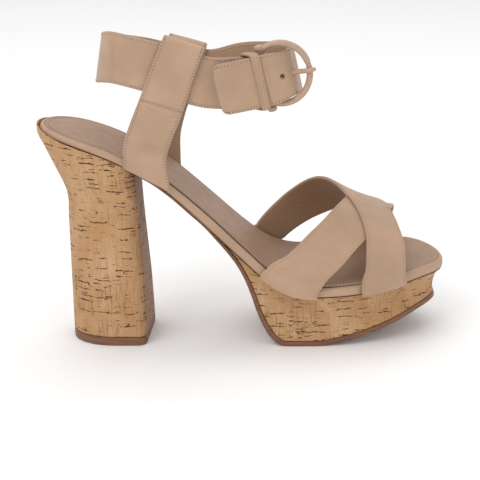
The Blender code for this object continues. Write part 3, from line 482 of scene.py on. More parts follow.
    def build(self) -> Material:
        """Make the material."""
        make = NodeMaker(self.name)
        skin = make.place(wrapped=True)
        grain = make.stretched((950.0, 70.0, 1.0), 3.0, 0.65)
        marks = self.marks(make, skin)
        make.feed("Base Color", make.mix(marks, self.ground(make, skin, grain), self.fleck))
        make.feed("Roughness", make.ramp(marks, 0.0, 1.0, 0.60, 0.85))
        height = make.maths("SUBTRACT", make.maths("MULTIPLY", grain, 0.25), marks)
        make.relief(height, self.fleck_height, 0.6)
        make.set(Specular_IOR_Level=0.25)
        return make.material


@dataclass(frozen=True)
class RubberFinish:
    """Brown sole rubber with a faint run of marks along the edge."""

    name: str
    colour: Colour
    lift: float = 1.5

    def build(self) -> Material:
        """Make the material."""
        make = NodeMaker(self.name)
        streaks = make.stretched((60.0, 60.0, 700.0), 3.0, 0.6, wrapped=False)
        make.feed("Base Color", make.mix(make.ramp(streaks, 0.35, 0.7), self.colour,
                                         toned(self.colour, self.lift)))
        fine = make.noise(make.place(), 1400.0, 3.0, 0.6)
        make.feed("Roughness", make.ramp(fine, 0.3, 0.7, 0.42, 0.56))
        make.relief(fine, 0.05 * MM, 0.5)
        return make.material


@dataclass(frozen=True)
class EnamelFinish:
    """Leather-coloured enamel on metal, softly glossy and a little uneven."""

    name: str
    colour: Colour
    roughness: float = 0.33

    def build(self) -> Material:
        """Make the material."""
        make = NodeMaker(self.name)
        here = make.place()
        cloud = make.ramp(make.noise(here, 260.0), 0.3, 0.7)
        make.feed("Base Color", make.mix(cloud, toned(self.colour, 0.94), toned(self.colour, 1.05)))
        make.feed("Roughness", make.ramp(cloud, 0.0, 1.0, self.roughness - 0.03, self.roughness + 0.05))
        make.relief(make.noise(here, 700.0), 0.02 * MM, 0.5)
        make.set(Specular_IOR_Level=0.55, Coat_Weight=0.25, Coat_Roughness=0.18)
        return make.material


@dataclass(frozen=True)
class ThreadFinish:
    """Twisted sewing thread."""

    name: str
    colour: Colour

    def build(self) -> Material:
        """Make the material."""
        make = NodeMaker(self.name)
        twist = make.noise(make.place(), 2600.0)
        make.feed("Base Color", make.mix(make.ramp(twist, 0.35, 0.65), toned(self.colour, 0.8), self.colour))
        make.relief(twist, 0.06 * MM, 0.6)
        make.set(Roughness=0.6, Specular_IOR_Level=0.3)
        return make.material


@dataclass(frozen=True)
class FloorFinish:
    """The plain pale floor."""

    name: str
    colour: Colour

    def build(self) -> Material:
        """Make the material."""
        make = NodeMaker(self.name)
        cloud = make.noise(make.place(), 6.0, 3.0)
        make.feed("Base Color", make.mix(cloud, self.colour, toned(self.colour, 1.02)))
        make.feed("Roughness", make.ramp(cloud, 0.0, 1.0, 0.76, 0.84))
        make.relief(cloud, 0.1 * MM, 0.2)
        make.set(Specular_IOR_Level=0.1)
        return make.material


class Palette:
    """Every finish of the sandal, made once."""

    def __init__(self) -> None:
        """Make the materials."""
        self.leather = LeatherFinish("taupe_leather", (0.442, 0.290, 0.192), (0.13, 0.065, 0.035),
                                     roughness=0.44).build()
        self.lining = LeatherFinish("lining_leather", (0.375, 0.238, 0.150), (0.12, 0.06, 0.03),
                                    roughness=0.55, mottle=0.07).build()
        self.sock = LeatherFinish("sock_leather", (0.355, 0.222, 0.145), (0.12, 0.06, 0.035),
                                  roughness=0.5, mottle=0.06).build()
        # The third cork colour is the painted shade of the heel's breast.
        self.cork = CorkFinish("sheet_cork", (0.610, 0.385, 0.210), (0.480, 0.265, 0.118),
                               (0.420, 0.235, 0.135), (0.095, 0.034, 0.013)).build()
        self.rubber = RubberFinish("brown_sole", (0.150, 0.066, 0.031)).build()
        self.enamel = EnamelFinish("taupe_enamel", (0.445, 0.290, 0.200)).build()
        self.thread = ThreadFinish("taupe_thread", (0.60, 0.45, 0.34)).build()
        self.pale_thread = ThreadFinish("pale_thread", (0.66, 0.52, 0.40)).build()
        self.sock_thread = ThreadFinish("sock_thread", (0.42, 0.28, 0.20)).build()
        self.floor = FloorFinish("pale_floor", (0.95, 0.95, 0.95)).build()


# Meshes


class MeshMaker:
    """Gathers vertices and faces with their place on the skin and their shade."""

    def __init__(self, name: str) -> None:
        """Start an empty mesh."""
        self.name = name
        self.mesh = bmesh.new()
        self.wrap = self.mesh.loops.layers.uv.new(WRAP_MAP)
        self.shade = self.mesh.verts.layers.float.new(SHADE_MAP)

    def vert(self, point: Vector, shade: float = 0.0) -> bmesh.types.BMVert:
        """Add a vertex with its shade."""
        made = self.mesh.verts.new(point)
        made[self.shade] = max(min(shade, 1.0), 0.0)
        return made

    def face(self, corners: Sequence[bmesh.types.BMVert], places: Sequence[tuple[float, float]],
             material: int = 0) -> None:
        """Add a face, leaving out corners that fall together.

        Args:
            corners: Vertices in order.
            places: The place on the skin of each corner.
            material: Index of the face's material.
        """
        kept, kept_places = [], []
        for corner, place in zip(corners, places):
            if corner not in kept:
                kept.append(corner)
                kept_places.append(place)
        if len(kept) < 3:
            return
        made = self.mesh.faces.new(kept)
        made.material_index = material
        for loop, place in zip(made.loops, kept_places):
            loop[self.wrap].uv = place

    def sweep(self, rings: Sequence[Sequence[Vector]], shades: Sequence[Sequence[float]],
              materials: Sequence[int], closed: bool = False) -> None:
        """Skin a row of closed sections.

        Args:
            rings: Sections, each a closed loop of points.
            shades: Shade of every point.
            materials: Material index of each strip between two points of a section.
            closed: True if the last section joins the first.
        """
        loops = [[self.vert(p, s) for p, s in zip(ring, shade)] for ring, shade in zip(rings, shades)]
        count = len(rings[0])
        middles = [sum(ring, Vector()) / count for ring in rings]
        along = run_lengths(middles + ([middles[0]] if closed else []))
        around = run_lengths(list(rings[len(rings) // 2]) + [rings[len(rings) // 2][0]])
        spans = len(loops) if closed else len(loops) - 1
        for k in range(spans):
            one, two = loops[k], loops[(k + 1) % len(loops)]
            for i in range(count):
                j = (i + 1) % count
                self.face((one[i], one[j], two[j], two[i]),
                          ((along[k], around[i]), (along[k], around[i + 1]),
                           (along[k + 1], around[i + 1]), (along[k + 1], around[i])), materials[i])
        if not closed:
            for loop in (loops[0], loops[-1]):
                self.cap(loop)

    def cap(self, loop: Sequence[bmesh.types.BMVert]) -> None:
        """Close an end with a strip between its two long sides."""
        for i in range((len(loop) - 1) // 2):
            corners = (loop[i], loop[i + 1], loop[-2 - i], loop[-1 - i])
            self.face(corners, [(v.co.x, v.co.z) for v in corners])

    def pairs(self, levels: Sequence[Sequence[Pair]], shades: Sequence[float],
              breast: bool = False, along: Sequence[float] | None = None) -> None:
        """Skin a solid from levels of (lateral, medial) point pairs, lowest level first.

        Args:
            levels: Levels of pairs, each from the back to the front of the shoe.
            shades: Shade of each level.
            breast: True if the last pair is the edge of a flat front face.
            along: Shade of each pair from back to front, if it varies.
        """
        stations = along or [0.0] * len(levels[0])
        grid, around = [], []
        for level, shade in zip(levels, shades):
            row = []
            for (lateral, medial), extra in zip(level, stations):
                first = self.vert(lateral, shade + extra)
                together = (lateral - medial).length < 0.02 * MM
                row.append((first, first if together else self.vert(medial, shade + extra)))
            grid.append(row)
            flat = run_lengths([Vector((lateral.x, lateral.y)) for lateral, _ in level])
            around.append([level[0][0].x + length for length in flat])

        def place(level: int, station: int, side: int) -> tuple[float, float]:
            """Distance round the shoe, to either side of its back, and height."""
            run = around[level][station] + SKIN_START
            return (run if side else -run), grid[level][station][side].co.z

        for k in range(len(grid) - 1):
            low, high = grid[k], grid[k + 1]
            for i in range(len(low) - 1):
                for side, (one, two) in enumerate(((i, i + 1), (i + 1, i))):
                    self.face((low[one][side], low[two][side], high[two][side], high[one][side]),
                              (place(k, one, side), place(k, two, side), place(k + 1, two, side),
                               place(k + 1, one, side)))
            for end in (0, -1):
                width = (low[end][0].co - low[end][1].co).length if breast else 0.0
                near, above = place(k, end, 0), place(k + 1, end, 0)
                self.face((low[end][0], low[end][1], high[end][1], high[end][0]),
                          (near, (near[0] - width, near[1]), (above[0] - width, above[1]), above))
        for row in (grid[0], grid[-1]):
            for one, two in zip(row, row[1:]):
                corners = (one[0], one[1], two[1], two[0])
                self.face(corners, [(v.co.x, v.co.y) for v in corners])

    def finish(self, materials: Sequence[Material], slot: str,
               sharp: float = 42.0) -> bpy.types.Object:
        """Turn the mesh into an object that rides with the shoe.

        Args:
            materials: Materials in the order of the faces' indices.
            slot: The record's material slot. Not used.
            sharp: Angle in degrees over which an edge stays sharp.

        Returns:
            The object.
        """
        bmesh.ops.recalc_face_normals(self.mesh, faces=self.mesh.faces[:])
        data = bpy.data.meshes.new(self.name)
        self.mesh.to_mesh(data)
        self.mesh.free()
        made = add_object(self.name, data)
        for material in materials:
            data.materials.append(material)
        data.shade_smooth()
        data.set_sharp_from_angle(angle=math.radians(sharp))
        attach(made, ROOT)
        LOG.info("%s: %d faces", self.name, len(data.polygons))
        return made


def rod_rings(centres: Sequence[Vector], radii: Sequence[float], sides: int) -> list[list[Vector]]:
    """Round sections along a path.

    Args:
        centres: Middle line.
        radii: Radius at each of its points.
        sides: Points round each section.

    Returns:
        The sections.
    """
    rings = []
    last = len(centres) - 1
    side = Vector((0.0, 0.0, 1.0))
    for i, centre in enumerate(centres):
        run = (centres[min(i + 1, last)] - centres[max(i - 1, 0)]).normalized()
        side = run.orthogonal() if i == 0 else side - run * side.dot(run)
        side = side.normalized()
        other = run.cross(side)
        rings.append([centre + (side * math.cos(a) + other * math.sin(a)) * radii[i]
                      for a in (2 * math.pi * k / sides for k in range(sides))])
    return rings


def add_rod(maker: MeshMaker, centres: Sequence[Vector], radii: Sequence[float], sides: int = 20,
            closed: bool = False) -> None:
    """Sweep a round rod into a mesh."""
    rings = rod_rings(centres, radii, sides)
    maker.sweep(rings, [[0.0] * sides] * len(rings), [0] * sides, closed)


@dataclass
class StitchRun:
    """A run of sewn stitches along a line on a surface."""

    name: str
    pitch: float = 1.6 * MM
    share: float = 0.60
    radius: float = 0.29 * MM
    flat: float = 0.965
    slots: str = "leather"
    sides: int = 6
    form: tuple[tuple[float, float, float], ...] = (
        (0.0, -0.45, 0.55), (0.22, 0.75, 1.0), (0.5, 1.0, 1.08), (0.78, 0.75, 1.0), (1.0, -0.45, 0.55))
    maker: MeshMaker = field(init=False)
    count: int = field(init=False, default=0)

    def __post_init__(self) -> None:
        """Start the mesh of stitches."""
        self.maker = MeshMaker(self.name)

    def sew(self, points: Sequence[Vector], normals: Sequence[Vector], sunk: float = -0.12 * MM) -> None:
        """Sew along a line, leaving out the stitches that would bend sharply.

        Args:
            points: Points on the surface.
            normals: Outward normal at each point.
            sunk: How far the thread's middle lies over the surface's line.
        """
        lengths = run_lengths(points)
        stitches = int(lengths[-1] / self.pitch)
        index = 0
        for number in range(stitches):
            middle = (number + 0.5) * self.pitch
            ends = []
            for place in (middle - self.pitch * self.share / 2, middle,
                          middle + self.pitch * self.share / 2):
                while index < len(lengths) - 2 and lengths[index + 1] < place:
                    index += 1
                while index > 0 and lengths[index] > place:
                    index -= 1
                span = lengths[index + 1] - lengths[index]
                part = (place - lengths[index]) / span if span > 0 else 0.0
                ends.append((points[index].lerp(points[index + 1], part), normals[index]))
            if ends[0][1].dot(ends[2][1]) > self.flat:
                self.add_stitch(ends, sunk)
                self.count += 1

    def add_stitch(self, ends: Sequence[tuple[Vector, Vector]], sunk: float) -> None:
        """Add one stitch that dives into the leather at both ends.

        Args:
            ends: Point and normal at its start, middle and end.
            sunk: How far the thread's middle lies over the surface's line.
        """
        start, end = ends[0][0], ends[2][0]
        normal = ends[1][1]
        centres = [start + (end - start) * share + normal * (lift * self.radius + sunk)
                   for share, lift, _ in self.form]
        add_rod(self.maker, centres, [self.radius * size for _, _, size in self.form], self.sides)

    def finish(self, material: Material) -> None:
        """Make the object of all stitches."""
        LOG.info("%s: %d stitches", self.name, self.count)
        self.maker.finish([material], self.slots, 60.0)


# The last and the footbed


@dataclass(frozen=True)
class Last:
    """The form that the whole shoe is made on."""

    back: float = -35.3 * MM
    reach: float = 221.8 * MM
    seat_height: float = 123.0 * MM
    ball_height: float = 37.5 * MM
    toe_spring: float = 5.3 * MM
    ball_width: float = 83.0 * MM
    edge: float = 5.8 * MM
    profile: Track = Track(
        ("reach", "rise", "spring", "edge"),
        ((0.00, 1.000, 0.00, 0.62), (0.10, 0.936, 0.00, 0.62), (0.20, 0.838, 0.00, 0.68),
         (0.30, 0.699, 0.00, 0.80), (0.40, 0.484, 0.00, 0.95), (0.50, 0.239, 0.00, 1.00),
         (0.56, 0.099, 0.00, 1.00), (0.62, 0.016, 0.00, 1.00), (0.68, 0.000, 0.00, 1.00),
         (0.80, 0.000, 0.25, 1.00), (0.88, 0.000, 0.66, 1.00), (0.94, 0.000, 0.87, 1.00),
         (1.00, 0.000, 1.00, 1.00)))
    plan: Track = Track(
        ("turn", "LATERAL", "MEDIAL"),
        ((0.00, 0.000, 0.000), (0.10, 0.211, 0.215), (0.20, 0.331, 0.325), (0.30, 0.349, 0.342),
         (0.40, 0.328, 0.316), (0.50, 0.343, 0.380), (0.58, 0.373, 0.612), (0.66, 0.352, 0.672),
         (0.75, 0.267, 0.633), (0.84, 0.108, 0.560), (0.92, -0.012, 0.373), (1.00, -0.145, 0.145)))

    def x_at(self, share: float) -> float:
        """Place along the last from its share of the reach."""
        return self.back + share * self.reach

    def share_at(self, x: float) -> float:
        """Share of the reach at a place along the last."""
        return (x - self.back) / self.reach

    def turn_at(self, x: float) -> float:
        """Turn of the plan outline at a place along the last."""
        return math.acos(1 - 2 * min(max(self.share_at(x), 0.0), 1.0)) / math.pi

    def height(self, x: float) -> float:
        """Height of the footbed's top."""
        share = self.share_at(x)
        rise = self.profile.at("rise", share) * (self.seat_height - self.ball_height)
        return self.ball_height + rise + self.profile.at("spring", share) * self.toe_spring

    def normal(self, x: float) -> Vector:
        """Upward normal of the footbed's top."""
        run = 0.8 * MM
        rise = self.height(x + run) - self.height(x - run)
        return Vector((-rise, 0.0, 2 * run)).normalized()

    def lift(self, x: float, y: float, above: float) -> Vector:
        """Point moved off the footbed's top along its normal."""
        return Vector((x, y, self.height(x))) + self.normal(x) * above

    def edge_at(self, x: float) -> float:
        """Thickness of footbed and sock together."""
        return self.profile.at("edge", min(max(self.share_at(x), 0.0), 1.0)) * self.edge

    def half_width(self, x: float, side: Side) -> float:
        """Half-width of the footbed."""
        return self.plan.at(side.name, self.turn_at(x)) * self.ball_width

    def outline(self, turn: float, side: Side) -> Vector:
        """Point (x, y) of the footbed's outline."""
        x = self.x_at((1 - math.cos(math.pi * turn)) / 2)
        return Vector((x, side.value * self.plan.at(side.name, turn) * self.ball_width))

    def inset(self, turn: float, side: Side, inset: float) -> Vector:
        """Point of the outline moved inwards.

        Args:
            turn: Turn of the outline from back to toe.
            side: Which side of the foot.
            inset: Distance inwards.

        Returns:
            The point (x, y).
        """
        step = 0.004
        run = self.outline(min(turn + step, 1.0), side) - self.outline(max(turn - step, 0.0), side)
        if turn <= step:
            run = Vector((0.0, side.value))
        if turn >= 1 - step:
            run = Vector((0.0, -side.value))
        inward = Vector((run.y, -run.x)).normalized() * side.value
        return self.outline(turn, side) + inward * inset


LAST = Last()


@dataclass
class Footbed:
    """The leather-wrapped footbed with its thin stitched sock."""

    stations: int = 120
    rounding: float = 1.9 * MM
    sock_thickness: float = 1.0 * MM
    sock_margin: float = 2.1 * MM
    sock_line: float = 4.3 * MM
    line_depth: float = 0.38 * MM
    bead_below: float = 0.12 * MM
    bead_drop: float = 0.75 * MM
    stitch_margin: float = 1.5 * MM
    stitch_steps: int = 240
    stitch_depths: tuple[float, float] = (0.0, 0.30 * MM)
    pale_runs: tuple[tuple[float, float], ...] = ((0.285, 0.36), (0.60, 0.72))
    quiet_runs: tuple[tuple[float, float], ...] = ((0.05, 0.285), (0.36, 0.60))
    marks: Track = Track(
        ("turn", "gap", "line", "drop"),
        ((0.00, 0.10, 1.0, 0.0), (0.26, 0.12, 1.0, 0.0), (0.34, 0.30, 0.5, 0.5), (0.40, 0.45, 0.15, 1.0),
         (0.58, 0.45, 0.1, 1.0), (0.66, 0.30, 0.1, 0.5), (0.74, 0.12, 0.1, 0.2), (0.82, 0.02, 0.0, 0.0),
         (1.00, 0.02, 0.0, 0.0)))

    def level(self, inset: float, below: float, share: float = 0.0, gap: float = 0.0,
              line: float = 0.0, drop: float = 0.0) -> list[Pair]:
        """One level, a depth and a share of the edge below the last.

        Args:
            inset: Distance in from the outline.
            below: Depth under the last.
            share: Share of the edge's remaining height to go down.
            gap: How much of the groove's changing width to move in.
            line: Depth of the pressed line where it is strongest.
            drop: Depth that the rim drops by along the shank.

        Returns:
            Pairs of points from heel to toe.
        """
        pairs = []
        for i in range(self.stations + 1):
            turn = i / self.stations
            pair = []
            moved = inset + gap * self.marks.at("gap", turn) * MM
            sunk = below + line * self.marks.at("line", turn) + drop * self.marks.at("drop", turn)
            for side in Side:
                x, y = LAST.inset(turn, side, moved)
                depth = sunk + share * (LAST.edge_at(x) - sunk)
                pair.append(LAST.lift(x, y, -depth))
            pairs.append((pair[0], pair[1]))
        return pairs

    def build_board(self, palette: Palette) -> None:
        """The wrapped board, its edge rounded over."""
        top = self.sock_thickness + CLEARANCE
        rim = self.rounding
        levels, shades = [], []
        # Painted shade round the board's lower rounded edge, darkest where it turns under.
        for degrees in (80, 60, 40, 20, 0):
            angle = math.radians(degrees)
            levels.append(self.level(rim * (1 - math.cos(angle)), top, 1.0 - 0.30 * (1 - math.sin(angle))))
            shades.append(0.45 * math.sin(angle))
        for share in (0.62, 0.52, 0.42):
            levels.append(self.level(0.0, top, share))
        for degrees in (0, 20, 40, 60, 75, 90):
            angle = math.radians(degrees)
            levels.append(self.level(rim * (1 - math.cos(angle)),
                                     self.bead_below + rim * (1 - math.sin(angle)), drop=self.bead_drop))
        shades += [0.0] * (len(levels) - len(shades))
        # Painted shade down the groove between the bead and the sock: the last number of each row.
        for inset, below, shade in ((0.14, 0.05, 0.15), (0.19, 0.4, 0.7), (0.2, 1.0, 1.0)):
            levels.append(self.level(rim + inset * MM, self.bead_below + (top - self.bead_below) * below,
                                     drop=self.bead_drop * (1 - below)))
            shades.append(shade)
        maker = MeshMaker("footbed_leather")
        maker.pairs(levels, shades)
        made = maker.finish([palette.leather], "leather", 75.0)
        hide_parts("footbed")

    def build_sock(self, palette: Palette) -> None:
        """The sock, with its pressed sewing line."""
        margin, thick = self.sock_margin, self.sock_thickness
        # Painted shade on the sock's cut edge down in the groove: the last number of each row.
        shape = ((0.0, 1.0, 1.0), (0.0, 0.55, 1.0), (0.03 * MM, 0.35, 0.8), (0.14 * MM, 0.1, 0.1),
                 (0.5 * MM, 0.03, 0.0))
        levels = [self.level(margin + inset, thick * below, gap=1.0) for inset, below, _ in shape]
        for off in (-0.9, -0.5, -0.25, 0.0, 0.25, 0.5, 0.9):
            levels.append(self.level(self.sock_line + off * MM, 0.0, line=self.line_depth * bump(off, 0.35)))
        levels += [self.level(inset * MM, 0.0) for inset in (7.0, 10.0, 15.0)]
        shades = [shade for _, _, shade in shape]
        shades += [0.0] * (len(levels) - len(shades))
        maker = MeshMaker("insole_sock_leather")
        maker.pairs(levels, shades)
        made = maker.finish([palette.sock], "lining", 60.0)
        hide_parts("insole_sock")

    def build_stitches(self, name: str, runs: Sequence[tuple[float, float]],
                       material: Material) -> None:
        """Stitches near the sock's edge.

        Args:
            name: Name of the piece.
            runs: Start and end turns of each run.
            material: The thread.
        """
        run = StitchRun(name, pitch=2.0 * MM, share=0.6, slots="lining")
        margin = self.sock_margin + self.stitch_margin
        for start, end in runs:
            for side, depth in zip(Side, self.stitch_depths):
                points = []
                for i in range(self.stitch_steps + 1):
                    x, y = LAST.inset(start + (end - start) * i / self.stitch_steps, side, margin)
                    points.append(LAST.lift(x, y, -depth))
                run.sew(points, [LAST.normal(p.x) for p in points])
        run.finish(material)

    def build(self, palette: Palette) -> None:
        """Build the footbed, the sock and its stitches."""
        self.build_board(palette)
        self.build_sock(palette)
        self.build_stitches("insole_sock_stitches", self.pale_runs, palette.pale_thread)
        self.build_stitches("insole_sock_quiet_stitches", self.quiet_runs, palette.sock_thread)


# Heel, platform and outsole


@dataclass
class Heel:
    """The cork-covered block heel and its wear pad."""

    tip_length: float = 43.5 * MM
    tip_width: float = 42.0 * MM
    corner: float = 4.5 * MM
    lift_thickness: float = 4.8 * MM
    lip: float = 2.4 * MM
    roundness: float = 2.2
    back_stations: int = 46
    corner_stations: int = 8
    rows: Track = Track(
        ("share", "back", "breast", "half", "seat", "corner", "turn"),
        ((0.00, 1.000, 0.985, 1.00, 0.00, 1.0, 4.0), (0.30, 1.015, 0.940, 1.01, 0.00, 1.3, 2.6),
         (0.60, 1.030, 0.850, 1.04, 0.00, 1.7, 1.2), (0.71, 1.038, 0.818, 1.06, 0.00, 1.8, 0.6),
         (0.76, 1.120, 0.803, 1.10, 0.16, 1.9, 0.3), (0.82, 1.270, 0.785, 1.15, 0.38, 2.0, 0.0),
         (0.89, 1.450, 0.765, 1.20, 0.62, 2.0, 0.0), (0.95, 1.610, 0.752, 1.25, 0.85, 2.0, 0.0),
         (0.98, 1.700, 0.747, 1.28, 0.97, 2.0, 0.0), (1.00, 1.735, 0.745, 1.30, 1.00, 2.0, 0.0)))
    rim_rise: float = 3.0 * MM
    rim_reach: float = 0.48
    pad_rows: tuple[tuple[float, float], ...] = (
        (0.0, 0.7), (0.12, 0.3), (0.4, 0.08), (0.8, 0.0), (4.1, 0.0), (4.6, 0.15), (4.8, 0.4))

    def breast_x(self, share: float) -> float:
        """Place of the flat front at a share of the height."""
        return self.rows.at("breast", share) * self.tip_length / 2

    def section(self, share: float, inset: float = 0.0) -> list[Pair]:
        """One section of the heel.

        Args:
            share: Share of the heel's height.
            inset: How far the section is drawn in.

        Returns:
            (lateral, medial) plan points from back to breast.
        """
        corner = self.corner * self.rows.at("corner", share)
        slope = math.tan(math.radians(self.rows.at("turn", share)))
        back = -self.rows.at("back", share) * self.tip_length / 2 + inset
        breast = self.breast_x(share) - inset
        half = self.rows.at("half", share) * self.tip_width / 2 - inset
        seat = self.rows.at("seat", share)
        run = breast - corner - back
        places = [back + run * (1 - math.cos(math.pi / 2 * i / self.back_stations))
                  for i in range(self.back_stations + 1)]
        for k in range(1, self.corner_stations + 1):
            places.append(breast - corner + corner * math.sin(math.pi / 2 * k / self.corner_stations))
        rows = []
        for x in places:
            u = (x - back) / (breast - back)
            rounding = (1 - min(u / 0.62, 1.0)) ** self.roundness
            block = half * (1 - rounding) ** (1 / self.roundness)
            fillet = 0.0
            if x > breast - corner:
                fillet = corner - math.sqrt(max(corner ** 2 - (x - breast + corner) ** 2, 0.0))
            place = LAST.back + u * (breast - LAST.back)
            lip = 1 + self.lip * max(1 - u * 1.15, -0.1) / (0.35 * LAST.ball_width)
            pair = []
            for side in Side:
                form = (1 - seat) * block + seat * LAST.half_width(place, side) * lip
                y = side.value * max(form - fillet, 0.0)
                pair.append(Vector((x + slope * max(u, 0.0) * y, y)))
            rows.append((pair[0], pair[1]))
        return rows

    def level(self, share: float, inset: float = 0.0, rim: float = 0.0) -> list[Pair]:
        """One level of the block, between the wear pad and the footbed.

        Args:
            share: Share of the heel's height.
            inset: How far the level is drawn in.
            rim: Share of the thin lip's rise round the back of the seat.

        Returns:
            Pairs of points from back to breast.
        """
        foot = self.lift_thickness + CLEARANCE
        found = []
        pairs = self.section(share, inset)
        for pair in pairs:
            ahead = (pair[0].x - pairs[0][0].x) / (pairs[-1][0].x - pairs[0][0].x)
            rise = rim * self.rim_rise * max(1 - ahead / self.rim_reach, 0.0) ** 1.5
            points = []
            for x, y in pair:
                top = LAST.height(x) - (LAST.edge_at(x) + CLEARANCE) / LAST.normal(x).z
                points.append(Vector((x, y, foot + share * (top - foot) + rise)))
            found.append((points[0], points[1]))
        return found

    def breast_shades(self) -> list[float]:
        """Painted shade of every station, none on the side and full on the breast."""
        side = [0.0] * (self.back_stations - 1)
        blend = self.corner_stations + 2
        return side + [min((k / blend) ** 1.3, 1.0) for k in range(1, blend + 1)]

    def build_block(self, palette: Palette) -> None:
        """The block in its cork cover, the cover's edges eased."""
        shares = [0.0, 0.004] + [0.72 * k / 16 for k in range(1, 17)]
        shares += [0.72 + 0.265 * k / 22 for k in range(1, 23)] + [0.992]
        levels = [self.level(0.0, 0.5 * MM)] + [self.level(share) for share in shares[1:]]
        levels += [self.level(0.997, 0.0, 0.8), self.level(1.0, 0.25 * MM, 0.96),
                   self.level(1.0, 0.6 * MM, 1.0), self.level(1.0, 1.0 * MM, 0.96),
                   self.level(1.0, 1.15 * MM, 0.0)]
        maker = MeshMaker("heel_block_cork")
        maker.pairs(levels, [0.0] * len(levels), breast=True, along=self.breast_shades())
        made = maker.finish([palette.cork], "cork", 50.0)
        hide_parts("heel_block")

    def build_lift(self, palette: Palette) -> None:
        """The wear pad with its eased edges."""
        levels = []
        for height, inset in self.pad_rows:
            levels.append([(Vector((*lateral, height * MM)), Vector((*medial, height * MM)))
                           for lateral, medial in self.section(0.0, inset * MM)])
        maker = MeshMaker("heel_top_lift_rubber")
        maker.pairs(levels, [0.0] * len(levels), breast=True)
        made = maker.finish([palette.rubber], "sole_edge", 50.0)
        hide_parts("heel_top_lift")

    def build(self, palette: Palette) -> None:
        """Build the block and its wear pad."""
        self.build_block(palette)
        self.build_lift(palette)


